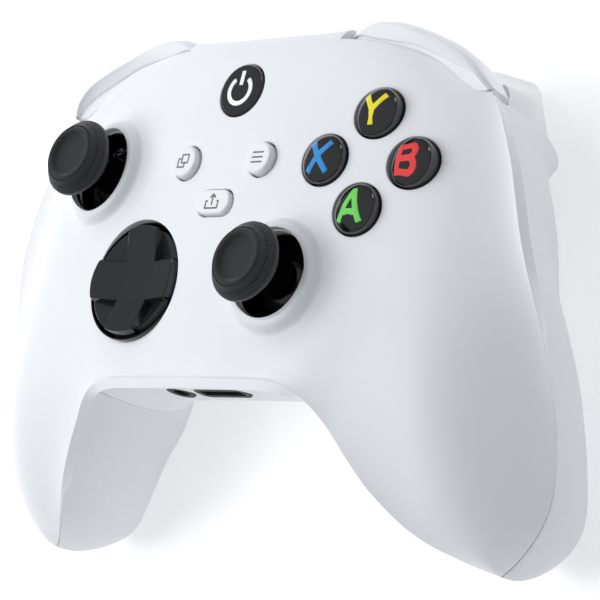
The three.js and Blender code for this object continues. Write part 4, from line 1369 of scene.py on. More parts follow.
def plain_object(name: str, face: FaceFrame, form: Form) -> bpy.types.Object:
    """An undressed object of a form, to be worked on further.

    Args:
        name: the object's name.
        face: the face frame.
        form: the form.

    Returns:
        The object, in the scene.
    """
    mesh = bpy.data.meshes.new(name)
    mesh.from_pydata(face.to_part(form.points).tolist(), [], form.faces)
    made = bpy.data.objects.new(name, mesh)
    bpy.context.scene.collection.objects.link(made)
    return made


def grown(carrier: bpy.types.Object, tree: bpy.types.NodeTree, values: Dict[str, float]
          ) -> bpy.types.Mesh:
    """Runs a node tree on an object and takes the result as a plain mesh.

    Args:
        carrier: the object that the tree works on; it is removed afterwards.
        tree: the geometry node tree.
        values: values for the tree's named inputs.

    Returns:
        The made mesh.
    """
    modifier = carrier.modifiers.new("Grow", "NODES")
    modifier.node_group = tree
    for item in tree.interface.items_tree:
        if item.item_type == "SOCKET" and item.in_out == "INPUT" and item.name in values:
            modifier[item.identifier] = values[item.name]
    shown = carrier.evaluated_get(bpy.context.evaluated_depsgraph_get())
    mesh = bpy.data.meshes.new_from_object(shown)
    carrier.modifiers.clear()
    bpy.data.objects.remove(carrier)
    return mesh


def dress(mesh: bpy.types.Mesh, name: str, finish: Finishes, body: str, sharp: float = 40
          ) -> bpy.types.Object:
    """Makes a piece of a mesh that a node tree made.

    Args:
        mesh: the mesh.
        name: the piece's name.
        finish: its finish.
        body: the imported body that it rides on.
        sharp: angle in degrees above which an edge stays sharp.

    Returns:
        The new object.
    """
    mesh.shade_smooth()
    mesh.set_sharp_from_angle(angle=math.radians(sharp))
    mesh.materials.clear()
    mesh.materials.append(finish.value.build())
    piece = bpy.data.objects.new(name, mesh)
    bpy.context.scene.collection.objects.link(piece)
    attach(piece, body)
    LOG.info("%s: %d faces on %s", name, len(mesh.polygons), body)
    return piece


def new_tree(name: str, inputs: Sequence[Tuple[str, str, float]]
             ) -> Tuple[bpy.types.NodeTree, bpy.types.Node]:
    """Starts a geometry node tree.

    Args:
        name: the tree's name.
        inputs: name, socket type and default of each input after the geometry.

    Returns:
        The tree and its input node.
    """
    tree = bpy.data.node_groups.new(name, "GeometryNodeTree")
    tree.interface.new_socket("Geometry", in_out="INPUT", socket_type="NodeSocketGeometry")
    for label, kind, value in inputs:
        socket = tree.interface.new_socket(label, in_out="INPUT", socket_type=kind)
        socket.default_value = value
    tree.interface.new_socket("Geometry", in_out="OUTPUT", socket_type="NodeSocketGeometry")
    return tree, add_node(tree, "NodeGroupInput")


def end_tree(tree: bpy.types.NodeTree, instances: bpy.types.NodeSocket, finish: Finishes) -> None:
    """Ends a tree: its instances become real geometry with a material.

    Args:
        tree: the tree.
        instances: the socket that gives the instances.
        finish: the material.
    """
    real = add_node(tree, "GeometryNodeRealizeInstances", inputs={0: instances})
    coloured = add_node(tree, "GeometryNodeSetMaterial", inputs={
        "Geometry": real.outputs[0], "Material": finish.value.build()})
    add_node(tree, "NodeGroupOutput", inputs={0: coloured.outputs[0]})


@dataclass(frozen=True)
class DotField:
    """Low points scattered evenly over a surface."""

    sides: int = 5

    def tree(self) -> bpy.types.NodeTree:
        """Makes the node tree.

        Returns:
            A tree whose inputs are the dots' spacing, radius and seed.
        """
        tree, given = new_tree("dot_field", [
            ("Spacing", "NodeSocketFloat", 0.001), ("Radius", "NodeSocketFloat", 0.0003),
            ("Seed", "NodeSocketInt", 3)])
        spread = add_node(tree, "GeometryNodeDistributePointsOnFaces",
                          {"distribute_method": "POISSON"}, {
                              "Mesh": given.outputs["Geometry"],
                              "Distance Min": given.outputs["Spacing"],
                              "Density Max": 2.0e6, "Seed": given.outputs["Seed"]})
        dot = add_node(tree, "GeometryNodeMeshCone", inputs={
            "Vertices": self.sides, "Side Segments": 1, "Fill Segments": 1,
            "Radius Top": 0.0, "Radius Bottom": given.outputs["Radius"], "Depth": 0.00007})
        copies = add_node(tree, "GeometryNodeInstanceOnPoints", inputs={
            "Points": spread.outputs["Points"], "Instance": dot.outputs["Mesh"],
            "Rotation": spread.outputs["Rotation"]})
        end_tree(tree, copies.outputs["Instances"], Finishes.GRIP)
        return tree


@dataclass
class Bumper:
    """One bumper: a slanted face that rises from the seam, a crease, and a wall down the back."""

    face: FaceFrame
    side: int
    label: str
    seam: Tuple[Point3, ...] = ((21.2, 27.6, -5.8), (24.5, 28.1, -4.8), (28.0, 27.4, -4.9),
                                (33, 26.6, -5.2), (39, 25.4, -5.7), (43.5, 23.9, -6.3),
                                (49, 21.6, -6.9), (53.5, 19.6, -7.5), (56.9, 17.5, -8.1),
                                (59.1, 15.8, -8.8))
    crease: Tuple[Point3, ...] = ((21.6, 28.2, -5.8), (24.5, 29.3, -4.6), (27.6, 30.4, -4.4),
                                  (32.4, 30.3, -4.4), (38.2, 28.7, -4.5), (43, 26.9, -4.7),
                                  (48.8, 24.4, -4.9), (53.6, 21.8, -5.3), (56.9, 18.8, -6.3),
                                  (59.2, 16.2, -8.4))
    wall: Tuple[Point3, ...] = ((21.8, 30.2, -8.2), (24.6, 30.9, -8.2), (27.8, 31.7, -8.2),
                                (32.7, 31.6, -8.2), (38.6, 30.0, -8.3), (43.5, 28.2, -8.4),
                                (49.4, 25.6, -8.6), (54.1, 22.5, -8.9), (57.0, 19.3, -9.3),
                                (59.2, 16.4, -10.1))
    foot: Tuple[Point3, ...] = ((21.8, 30.5, -16.9), (24.6, 31.2, -16.9), (27.8, 31.9, -16.9),
                                (32.5, 31.8, -16.9), (38.2, 30.2, -16.9), (42.6, 28.5, -16.9),
                                (47.6, 26.1, -16.9), (51.4, 23.4, -16.9), (54.6, 20.4, -16.9),
                                (57.2, 17.2, -16.9))
    thickness: float = 4.0
    steps: int = 40

    def build(self) -> None:
        """Makes the bumper."""
        lines = (self.seam, self.crease, self.wall, self.foot)
        seam, crease, top, foot = (self._resampled(line) for line in lines)
        along = np.gradient(crease[:, :2], axis=0)
        along /= np.linalg.norm(along, axis=1)[:, None]
        out = np.column_stack([-along[:, 1], along[:, 0], np.zeros(len(along))])
        up = np.array([0, 0, 1.0])
        rise = crease - seam
        share = np.linspace(0, 1, self.steps)
        # The hidden front edge is shallow at both ends, so that it stays inside the casing.
        deep = (0.12 + 0.88 * smooth(0, 0.08, share) * smooth(1, 0.86, share))[:, None]
        back = foot - out * self.thickness
        rows = [
            seam - (out * 2.4 + up * 1.5) * deep - up * 0.7,
            seam - (out * 2.2 + up * 0.3) * deep - up * 0.6, seam - up * 0.55,
            seam + rise * 0.02 - up * 0.15, seam + rise * 0.12 + up * 0.05,
            seam + rise * 0.5 + up * 0.14, crease - out * 0.8 + up * 0.02,
            crease - out * 0.25 - up * 0.1, crease + out * 0.15 - up * 0.45,
            mix(crease, top, 0.5) + out * 0.2, top, mix(top, foot, 0.5), foot + up * 0.5,
            foot - out * 0.45, back,
        ]
        grid = np.stack(rows, axis=1)
        count = grid.shape[1]
        points = grid.reshape(-1, 3)
        faces: List[Tuple[int, ...]] = []
        for i in range(len(grid) - 1):
            for j in range(count):
                n = (j + 1) % count
                faces.append((i * count + j, (i + 1) * count + j,
                              (i + 1) * count + n, i * count + n))
        faces.append(tuple(range(count)))
        last = (len(grid) - 1) * count
        faces.append(tuple(last + j for j in range(count))[::-1])
        form = Form(points, faces)
        if self.side < 0:
            form = form.mirrored()
        make_piece(self.face, "visual_bumper_" + self.label, form, Finishes.SHELL,
                   "bumper_" + self.label, ["bumper_" + self.label], sharp=40, merge=True,
                   bevel=0.25)

    def _resampled(self, line: Sequence[Point3]) -> np.ndarray:
        """A smooth line through the points, in even steps along it.

        Args:
            line: the line's points.

        Returns:
            As many points as there are steps.
        """
        points = np.array(line)
        padded = np.vstack([2 * points[0] - points[1], points, 2 * points[-1] - points[-2]])
        curve = EdgeCurve(tuple(map(tuple, padded)))
        return curve.at(np.linspace(0, 1, self.steps))


@dataclass
class Trigger:
    """One trigger: a curved blade with cheeks that reach back into the shell."""

    face: FaceFrame
    side: int
    label: str
    slope: float = -0.3057
    middle_x: float = 41.4
    wall: float = 1.6
    # Height, front edge at the middle, root, inner side, outer side at the front and at the root.
    levels: Tuple[Tuple[float, ...], ...] = (
        (-17.9, 25.0, 18.3, 27.9, 55.8, 56.2), (-19.4, 25.5, 18.3, 27.8, 55.8, 56.2),
        (-22, 26.1, 18.3, 27.8, 55.7, 56.2), (-26, 27.0, 18.3, 28.2, 55.3, 56.0),
        (-29, 27.9, 18.3, 29.0, 54.0, 55.6), (-31.5, 28.8, 18.4, 30.2, 52.0, 55.0),
        (-33.6, 29.7, 18.5, 31.5, 49.9, 54.3), (-35.2, 30.6, 18.8, 32.6, 48.0, 53.5),
        (-36.2, 30.9, 19.3, 33.4, 46.9, 52.6), (-36.8, 30.2, 20.2, 34.2, 46.0, 51.4))

    def build(self) -> None:
        """Makes the trigger."""
        layers = [self._layer(*level) for level in self._smoothed()[::-1]]
        form = stacked(layers)
        if self.side < 0:
            form = form.mirrored()
        make_piece(self.face, "visual_trigger_" + self.label, form, Finishes.BUTTON,
                   "trigger_" + self.label, ["trigger_" + self.label], sharp=55)

    def _smoothed(self) -> np.ndarray:
        """The levels in finer steps.

        Returns:
            One row for each finer level.
        """
        table = np.array(self.levels)
        place = np.linspace(0, len(table) - 1, 28)
        columns = [np.interp(place, np.arange(len(table)), column) for column in table.T]
        return np.stack(columns, axis=1)

    def _layer(self, height: float, front: float, root: float, inner: float, outer: float,
               outer_root: float) -> np.ndarray:
        """The trigger's outline at one height: a round-cornered bar across the front.

        Args:
            height: its height.
            front: its front edge at the middle.
            root: its root.
            inner: its inner side.
            outer: its outer side at the front.
            outer_root: its outer side at the root.

        Returns:
            The outline's points.
        """
        def lean(x: float) -> float:
            """How far the slant moves a point."""
            return self.slope * (x - self.middle_x)

        corners = [
            (inner, root + lean(inner)), (inner, front + lean(inner)),
            (outer, front + lean(outer)), (outer_root, root + lean(outer_root)),
        ]
        crown = rounded_line(corners, 2.6, 8)
        x = np.array([p[0] for p in crown])
        y = np.array([p[1] for p in crown])
        across = (x - (inner + outer) / 2) / ((outer - inner) / 2)
        y = y - 0.5 * across**2 * (y > root + 3)
        return np.stack([x[::-1], y[::-1], np.full(len(x), height)], axis=1)


@dataclass
class BatteryDoor:
    """The door over the cells, with a ribbed thumb pocket."""

    face: FaceFrame
    edge: float = 0.5
    pocket: Tuple[float, float] = (16.0, 5.0)
    ribs: int = 9
    rib: Tuple[float, float, float] = (0.7, 4.0, 0.55)

    def build(self) -> None:
        """Makes the door and its ribs."""
        low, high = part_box("battery_door")
        low, high = np.array(low) / MM, np.array(high) / MM
        centre = (low + high) / 2
        size = high - low
        outline = np.array(rounded_rectangle(size[0] - 2 * self.edge, size[1] - 2 * self.edge,
                                             5.7, 10))
        spot = np.array([0.0, 8.6])
        pocket = np.array(rounded_rectangle(*self.pocket, 2.2, 8)) + spot
        flat, triangles = flat_sheet([outline], 2.0, [pocket])
        sheet = np.column_stack([flat[:, 0], -flat[:, 1], np.zeros(len(flat))])
        sheet += (centre[0], centre[1], low[2])
        top = thick_sheet(sheet, triangles, size[2] * 0.6, self.edge)
        floor = stacked([
            np.column_stack([outline[:, 0], outline[:, 1], np.full(len(outline), z)])
            + (centre[0], centre[1], low[2]) for z in (size[2] * 0.55, size[2])])
        form = Form(self._to_face((top + floor).points), (top + floor).faces)
        make_piece(self.face, "visual_battery_door", form, Finishes.SHELL, "battery_door",
                   ["battery_door"], sharp=40)
        start = np.array([centre[0] - 0.42 * self.pocket[0], centre[1] - spot[1], low[2] + 0.85])
        line = Form(self._to_face(np.array([start, start + (1, 0, 0), start + (0, 1, 0)])),
                    [(0, 1, 2)])
        carrier = plain_object("door_carrier", self.face, line)
        spacing = 0.84 * self.pocket[0] / (self.ribs - 1)
        mesh = grown(carrier, self._rib_tree(start * MM), {
            "Count": self.ribs, "Spacing": spacing * MM, "Width": self.rib[0] * MM,
            "Length": self.rib[1] * MM, "Height": self.rib[2] * MM})
        dress(mesh, "visual_door_ribs", Finishes.SHELL, "battery_door")

    def _to_face(self, points: np.ndarray) -> np.ndarray:
        """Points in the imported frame, in millimetres, as points of the face frame."""
        inverse = np.array(self.face.matrix.inverted())
        return np.asarray(points) * MM @ inverse[:3, :3].T + inverse[:3, 3]

    def _rib_tree(self, start: np.ndarray) -> bpy.types.NodeTree:
        """A row of bars along X.

        Args:
            start: the first bar's place in metres.

        Returns:
            The node tree.
        """
        tree, given = new_tree("door_ribs", [
            ("Count", "NodeSocketInt", 9), ("Spacing", "NodeSocketFloat", 0.0015),
            ("Width", "NodeSocketFloat", 0.0007), ("Length", "NodeSocketFloat", 0.004),
            ("Height", "NodeSocketFloat", 0.0005)])
        step = add_node(tree, "ShaderNodeCombineXYZ", inputs={"X": given.outputs["Spacing"]})
        line = add_node(tree, "GeometryNodeMeshLine", {"mode": "OFFSET"}, {
            "Count": given.outputs["Count"], "Start Location": tuple(start),
            "Offset": step.outputs[0]})
        size = add_node(tree, "ShaderNodeCombineXYZ", inputs={
            "X": given.outputs["Width"], "Y": given.outputs["Length"],
            "Z": given.outputs["Height"]})
        bar = add_node(tree, "GeometryNodeMeshCube", inputs={"Size": size.outputs[0]})
        copies = add_node(tree, "GeometryNodeInstanceOnPoints", inputs={
            "Points": line.outputs["Mesh"], "Instance": bar.outputs["Mesh"]})
        end_tree(tree, copies.outputs["Instances"], Finishes.SHELL)
        return tree


# ---- The controls --------------------------------------------------------------------------


@dataclass
class Letters:
    """The four round buttons with their letters."""

    face: FaceFrame
    casing: Casing
    layout: Layout
    radius: float = 5.2
    proud: float = 2.2
    shoulder: float = 0.75  # height of the edge above the face
    pen: float = 1.3
    height: float = 6.3

    def build(self) -> None:
        """Makes the buttons and the letters."""
        inks = {"a": Finishes.LETTER_A, "b": Finishes.LETTER_B, "x": Finishes.LETTER_X,
                "y": Finishes.LETTER_Y}
        for letter, spot in self.layout.letters.items():
            base = float(self.casing.face_height(spot[0], spot[1]))
            name = "button_" + letter
            make_piece(self.face, "visual_" + name, lathe(self._profile(), (spot[0], spot[1], base), 72),
                       Finishes.DOME, name, [name], sharp=35)
            ink = self._ink(letter).moved((spot[0], spot[1], base))
            make_piece(self.face, "visual_letter_" + letter, ink, inks[letter], name, sharp=50)

    def dome(self, radius: np.ndarray) -> np.ndarray:
        """Height of the button's top at a distance from its axis.

        Args:
            radius: distances from the axis.

        Returns:
            One height for each distance.
        """
        rise = self.proud - self.shoulder
        sphere = (self.radius**2 + rise**2) / (2 * rise)
        return self.proud - (sphere - np.sqrt(np.maximum(0, sphere**2 - radius**2)))

    def _profile(self) -> List[Point2]:
        """The button's outline: flange, side and dome, with a rounded edge between.

        Returns:
            Radius and height pairs.
        """
        dome = [(float(r), float(self.dome(r))) for r in np.linspace(self.radius - 0.35, 0, 14)]
        edge = rounded_line([(self.radius, -5), (self.radius, self.shoulder - 0.1), dome[1]], 0.45, 5)
        return [(0, -6.4), (6.2, -6.4), (6.2, -5.4), (self.radius, -5.4)] + edge[1:-1] + dome[1:]

    def _ink(self, letter: str) -> Form:
        """A letter that follows the dome.

        Args:
            letter: a, b, x or y.

        Returns:
            The letter, about the origin.
        """
        h = self.height / 2
        w = 0.42 * self.height
        bow = 0.27 * self.height
        strokes = {
            "a": [[(-w, -h), (-0.12, h), (0.12, h), (w, -h)],
                  [(-0.62 * w, -0.4 * h), (0.62 * w, -0.4 * h)]],
            "b": [[(-0.34 * self.height, -h), (-0.34 * self.height, h)],
                  [(-0.34 * self.height, h - self.pen / 2),
                   *arc((0.35, h - bow + 0.12), 1.42, 72, -80, 8), (-0.34 * self.height, 0.06)],
                  [(-0.34 * self.height, 0.06), *arc((0.45, -h + bow + 0.12), 1.62, 80, -76, 8),
                   (-0.34 * self.height, -h + self.pen / 2)]],
            "x": [[(-w * 0.9, -h), (w * 0.9, h)], [(-w * 0.9, h), (w * 0.9, -h)]],
            "y": [[(-w * 0.95, h), (0, -0.1)], [(w * 0.95, h), (0, -0.1)], [(0, 0.1), (0, -h)]],
        }[letter]
        outlines = [o for line in strokes for o in stroke(line, self.pen)]
        if letter == "y":
            outlines.append(np.array(arc((0, 0), self.pen / 2, 0, 360, 16)[:-1]))
        flat, triangles = flat_sheet(outlines, 0.45)
        radius = np.hypot(flat[:, 0], flat[:, 1])
        sheet = np.column_stack([flat, self.dome(radius) + 0.07])
        return thick_sheet(sheet, triangles, 0.3, 0.05, 2)


@dataclass
class SmallButtons:
    """View, menu, share and guide buttons with their signs."""

    face: FaceFrame
    casing: Casing
    layout: Layout
    radius: float = 3.45
    proud: float = 1.5
    share_size: Tuple[float, float, float] = (9.4, 5.2, 2.55)
    share_proud: float = 0.9
    pen: float = 0.32
    guide_radius: float = 5.6
    guide_pen: float = 0.95

    def build(self) -> None:
        """Makes the buttons and prints the signs on them."""
        for name, spot in self.layout.small.items():
            place = self._place(spot)
            profile = [(0, -4.4), (4.4, -4.4), (4.4, -3.5), (self.radius, -3.5),
                       (self.radius, self.proud - 0.55)]
            profile += arc((self.radius - 0.55, self.proud - 0.55), 0.55, 0, 80, 5)
            profile += [(2.2, self.proud - 0.06), (0, self.proud - 0.1)]
            make_piece(self.face, "visual_" + name, lathe(profile, place, 64), Finishes.BUTTON,
                       name, [name])
            self._sign(name, place, self.proud - 0.1)
        self._share()
        self._guide()

    def _place(self, spot: np.ndarray) -> Point3:
        """A place on the face under a control."""
        return spot[0], spot[1], float(self.casing.face_height(spot[0], spot[1]))

    def _sign(self, name: str, place: Point3, height: float) -> None:
        """Prints a button's sign on its top.

        Args:
            name: the button's name.
            place: the button's place on the face.
            height: height of its top above the face.
        """
        lines = {
            "view_button": [
                [(0.45, -0.2), (0.45, -1.35), (-1.35, -1.35), (-1.35, 0.45), (-0.75, 0.45)],
                [(-0.45, -0.45), (1.35, -0.45), (1.35, 1.35), (-0.45, 1.35), (-0.45, -0.45)],
            ],
            "menu_button": [[(-1.5, y), (1.5, y)] for y in (-1.05, 0, 1.05)],
            "share_button": [
                [(-1.25, 0.1), (-1.7, 0.1), (-1.7, -1.45), (1.7, -1.45), (1.7, 0.1), (1.25, 0.1)],
                [(0, -0.8), (0, 1.5)], [(-0.75, 0.8), (0, 1.55), (0.75, 0.8)],
            ],
        }[name]
        outlines = [o for line in lines for o in stroke(line, self.pen)]
        flat, triangles = flat_sheet(outlines, 0.5)
        sheet = np.column_stack([flat, np.full(len(flat), height + 0.06)])
        form = thick_sheet(sheet, triangles, 0.2, 0.02, 1).moved(place)
        make_piece(self.face, "visual_sign_" + name, form, Finishes.PRINT, name, sharp=50)

    def _share(self) -> None:
        """The share button, a short round-ended bar."""
        width, height, corner = self.share_size
        place = self._place(self.layout.share)
        form = plate(width, height, corner, -3.6, self.share_proud, 0.45)
        form = form + plate(width + 1.6, height + 1.6, corner, -4.5, -3.6, 0.1)
        make_piece(self.face, "visual_share_button", form.moved(place), Finishes.BUTTON,
                   "share_button", ["share_button"])
        self._sign("share_button", place, self.share_proud)

    def _guide(self) -> None:
        """The guide button: black glass with a plain power sign, lit from behind."""
        place = self._place(self.layout.guide)
        top = 0.35
        radius = self.guide_radius
        profile = [(0, -5), (2.2, -5), (2.2, -4.3), (6.6, -4.3), (6.6, -3.4), (radius, -3.4)]
        profile += arc((radius - 0.45, top - 0.45), 0.45, 0, 75, 5)
        profile += [(3.6, top + 0.1), (1.8, top + 0.16), (0, top + 0.18)]
        make_piece(self.face, "visual_guide_button", lathe(profile, place, 80), Finishes.DOME,
                   "guide_button", ["guide_button"])
        lines = [arc((0, -0.25), 2.9, 128, 412, 40), [(0, 0.9), (0, 4.0)]]
        outlines = [o for line in lines for o in stroke(line, self.guide_pen)]
        flat, triangles = flat_sheet(outlines, 0.5)
        sheet = np.column_stack([flat, np.full(len(flat), top + 0.21)])
        form = thick_sheet(sheet, triangles, 0.3, 0.03, 1).moved(place)
        make_piece(self.face, "visual_guide_sign", form, Finishes.LAMP, "guide_button", sharp=50)


@dataclass
class DirectionPad:
    """The direction pad: a round dish with a raised cross."""

    face: FaceFrame
    casing: Casing
    layout: Layout
    radius: float = 11.6
    arm: float = 4.1  # half an arm's width
    foot: float = 4.7  # half an arm's width at its foot
    centre: float = -0.3
    tip: float = 1.5
    corner: float = -1.9
    rim: float = 0.1

    def build(self) -> None:
        """Makes the pad."""
        spot = self.layout.pad
        base = float(self.casing.face_height(spot[0], spot[1]))
        outline = np.array(arc((0, 0), self.radius - 0.35, 0, 360, 120)[:-1])
        reach = self.radius - 0.6
        lines = []
        for offset in (self.arm - 0.12, self.arm + 0.1, self.foot):
            for sign in (-1, 1):
                for start, end in ((-reach, -offset), (offset, reach)):
                    steps = np.linspace(start, end, 14)
                    lines.append(np.array([(sign * offset, t) for t in steps]))
                    lines.append(np.array([(t, sign * offset) for t in steps]))
        inner = self.arm - 0.12
        square = [(-inner, -inner), (inner, -inner), (inner, inner), (-inner, inner), (-inner, -inner)]
        lines.append(np.array(square))
        flat, triangles = flat_sheet([outline], 0.9, lines=lines)
        sheet = np.column_stack([flat, self.height(flat[:, 0], flat[:, 1])])
        form = thick_sheet(sheet, triangles, 3.0, 0.35).moved((spot[0], spot[1], base))
        make_piece(self.face, "visual_dpad_cap", form, Finishes.PAD, "dpad_cap", ["dpad_cap"],
                   sharp=22)

    def height(self, x: np.ndarray, y: np.ndarray) -> np.ndarray:
        """Height of the pad's surface above the face.

        Args:
            x: places along x.
            y: places along y.

        Returns:
            One height for each place.
        """
        far = np.maximum(np.abs(x), np.abs(y))
        near = np.minimum(np.abs(x), np.abs(y))
        slope = (self.tip - self.centre) / (self.radius - self.arm)
        arm = self.centre + slope * np.maximum(0, far - self.arm)
        radius = np.hypot(x, y)
        inner = self.foot * math.sqrt(2)
        facet = mix(self.corner, self.rim, np.clip((radius - inner) / (self.radius - inner), 0, 1))
        facet = np.minimum(facet, arm - 0.2)
        shoulder = arm - 0.1
        level = np.where(near <= self.arm - 0.1, arm, shoulder)
        down = np.clip((near - self.arm - 0.1) / (self.foot - self.arm - 0.1), 0, 1)
        return np.where(near > self.arm + 0.11, mix(shoulder, facet, down), level)


@dataclass
class Thumbstick:
    """One thumbstick: a knurled rubber cap on a flared stem with a dome under it."""

    face: FaceFrame
    casing: Casing
    label: str
    radius: float = 8.3
    top: float = 12.1
    base: float = 6.5
    dish: float = 4.9
    neck: float = 3.6
    pivot: float = -9.0
    dome: float = 8.4
    teeth: int = 72

    def build(self) -> None:
        """Makes the cap, its knurl, and the stem."""
        spot = self.face.middle("stick_cap_" + self.label)
        place = (spot[0], spot[1], float(self.casing.face_height(spot[0], spot[1])))
        cap = "stick_cap_" + self.label
        make_piece(self.face, "visual_" + cap, lathe(self._cap_profile(), place, 96),
                   Finishes.RUBBER, cap, [cap], sharp=38)
        lever = "stick_lever_" + self.label
        make_piece(self.face, "visual_" + lever, lathe(self._lever_profile(), place, 80),
                   Finishes.ACETAL, lever, [lever], sharp=38)
        carrier = plain_object("knurl_carrier", self.face, Form(
            np.array([place, (place[0] + 1, place[1], place[2]), (place[0], place[1] + 1, place[2])]),
            [(0, 1, 2)]))
        mesh = grown(carrier, self._knurl_tree(), {
            "Teeth": self.teeth, "Radius": (self.radius + self.dish + 0.95) / 2 * MM,
            "Height": (self.base + 2.6 + self.top) / 2 * MM, "Length": 3.1 * MM, "Width": 0.36 * MM})
        matrix = self.face.matrix @ Matrix.Translation(place) @ Matrix.Diagonal((1 / MM,) * 3 + (1,))
        mesh.transform(matrix)
        dress(mesh, "visual_knurl_" + self.label, Finishes.RUBBER, cap)

    def _cap_profile(self) -> List[Point2]:
        """The cap's outline, from its underside round to the dish.

        Returns:
            Radius and height pairs.
        """
        rim = self.dish + 0.95
        corners = [
            (5.9, self.base - 0.4), (6.5, self.base), (6.5, self.base + 1.0),
            (self.radius - 0.9, self.base + 1.2), (self.radius, self.base + 2.0),
            (self.radius, self.base + 2.9), (rim, self.top - 0.3), (rim - 0.1, self.top - 0.05),
            (self.dish + 0.3, self.top), (self.dish, self.top - 0.3),
            (self.dish - 0.55, self.top - 1.1), (self.dish - 2.0, self.top - 1.6),
            (0, self.top - 1.8),
        ]
        return [(0, self.base - 0.4)] + rounded_line(corners, 0.35, 4)

    def _lever_profile(self) -> List[Point2]:
        """The stem's outline: dome, neck and the flare under the cap.

        Returns:
            Radius and height pairs.
        """
        inner = self.dome - 1.0
        lower = [(r * math.sin(math.radians(a)), self.pivot + r * math.cos(math.radians(a)))
                 for r, a in [(inner, a) for a in (18, 30, 45, 60)]]
        start = math.degrees(math.asin(self.neck / self.dome))
        upper = [(self.dome * math.sin(math.radians(a)),
                  self.pivot + self.dome * math.cos(math.radians(a)))
                 for a in np.linspace(60, start + 4, 16)]
        flare = rounded_line([
            (self.neck + 0.5, upper[-1][1] + 0.12), (self.neck, 1.2), (self.neck, 3.0),
            (self.neck + 0.6, self.base - 0.9), (self.neck + 1.2, self.base - 0.15)], 1.4, 5)
        return ([(0, lower[0][1])] + lower + upper + flare
                + [(3.2, self.base - 0.1), (3.2, self.base + 1.0), (0, self.base + 1.0)])

    def _knurl_tree(self) -> bpy.types.NodeTree:
        """Two rings of slanted bars that cross each other, on a sloping band.

        Returns:
            A node tree about the origin, whose inputs are the number and the sizes of the teeth.
        """
        found = bpy.data.node_groups.get("knurl")
        if found:
            return found
        tree, given = new_tree("knurl", [
            ("Teeth", "NodeSocketInt", 56), ("Radius", "NodeSocketFloat", 0.0077),
            ("Height", "NodeSocketFloat", 0.009), ("Length", "NodeSocketFloat", 0.0024),
            ("Width", "NodeSocketFloat", 0.0005)])
        circle = add_node(tree, "GeometryNodeMeshCircle", inputs={
            "Vertices": given.outputs["Teeth"], "Radius": given.outputs["Radius"]})
        raised = add_node(tree, "ShaderNodeCombineXYZ", inputs={"Z": given.outputs["Height"]})
        lifted = add_node(tree, "GeometryNodeSetPosition", inputs={
            "Geometry": circle.outputs["Mesh"], "Offset": raised.outputs[0]})
        size = add_node(tree, "ShaderNodeCombineXYZ", inputs={
            "X": given.outputs["Width"], "Y": given.outputs["Width"], "Z": given.outputs["Length"]})
        bar = add_node(tree, "GeometryNodeMeshCube", inputs={"Size": size.outputs[0]})
        place = add_node(tree, "GeometryNodeInputPosition")
        parts = add_node(tree, "ShaderNodeSeparateXYZ", inputs={0: place.outputs[0]})
        angle = add_node(tree, "ShaderNodeMath", {"operation": "ARCTAN2"}, {
            0: parts.outputs["Y"], 1: parts.outputs["X"]})
        joined = add_node(tree, "GeometryNodeJoinGeometry")
        for lean in (-0.5, 0.5):
            turn = add_node(tree, "ShaderNodeCombineXYZ", inputs={
                "X": lean, "Y": -0.76, "Z": angle.outputs[0]})
            copies = add_node(tree, "GeometryNodeInstanceOnPoints", inputs={
                "Points": lifted.outputs[0], "Instance": bar.outputs["Mesh"],
                "Rotation": turn.outputs[0]})
            tree.links.new(copies.outputs["Instances"], joined.inputs[0])
        end_tree(tree, joined.outputs[0], Finishes.RUBBER)
        return tree


@dataclass
class Sockets:
    """The sockets in the edges and the pairing button."""

    face: FaceFrame

    def build(self) -> None:
        """Makes the sockets' mouths."""
        self._mouth("usb_port", (9.0, 3.3, 1.6), (7.8, 2.1, 1.0), 1, Finishes.STEEL)
        self._mouth("headphone_jack", (6.2, 6.2, 3.09), (3.6, 3.6, 1.79), -1, Finishes.NYLON)
        self._mouth("expansion_port", (14.5, 5.0, 2.2), (11.6, 2.6, 0.5), -1, Finishes.NYLON)
        low, high = self.face.box("pair_button")
        middle = (low + high) / 2
        profile = [(0, low[1] - middle[1]), (1.9, low[1] - middle[1]), (1.9, high[1] - middle[1] - 0.3),
                   (1.6, high[1] - middle[1]), (0, high[1] - middle[1])]
        form = lathe(profile, (0, 0, 0), 40)
        form = Form(form.points[:, [0, 2, 1]] * (-1, 1, 1) + middle, form.faces)
        make_piece(self.face, "visual_pair_button", form, Finishes.BUTTON, "pair_button",
                   ["pair_button"])

    def _mouth(self, node: str, outer: Point3, inner: Point3, side: int, finish: Finishes) -> None:
        """A socket with an open mouth.

        Args:
            node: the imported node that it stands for.
            outer: width, height and corner radius of its body.
            inner: width, height and corner radius of its opening.
            side: 1 when it opens towards the bumpers, -1 when it opens between the grips.
            finish: its finish.
        """
        low, high = self.face.box(node)
        middle = (low + high) / 2
        front, back = (high[1], low[1]) if side > 0 else (low[1], high[1])
        loops = []
        depth = back + side * 1.2
        for (width, height, corner), y in ((outer, back), (outer, front - side * 0.2),
                                           (outer, front), (inner, front), (inner, depth)):
            loop = rounded_rectangle(width, height, corner, 8)
            loops.append(np.array([(middle[0] - side * x, y, middle[2] + z) for x, z in loop]))
        make_piece(self.face, "visual_" + node, stacked(loops), finish, "root", [node], sharp=40)


INNER_FINISHES = {
    "battery_tray": Finishes.NYLON, "battery_upper": Finishes.FILM, "battery_lower": Finishes.FILM,
    "button_membrane": Finishes.SILICONE, "guide_light_ring": Finishes.LAMP,
    "main_board": Finishes.BOARD, "dpad_spring_plate": Finishes.STEEL,
    "battery_contact": Finishes.STEEL, "trigger_shaft": Finishes.STEEL,
    "trigger_spring": Finishes.STEEL, "stick_yoke": Finishes.NYLON, "stick_module": Finishes.NYLON,
    "grip_motor": Finishes.STEEL, "grip_weight": Finishes.STEEL, "trigger_motor": Finishes.STEEL,
    "trigger_weight": Finishes.STEEL, "screw": Finishes.STEEL,
}


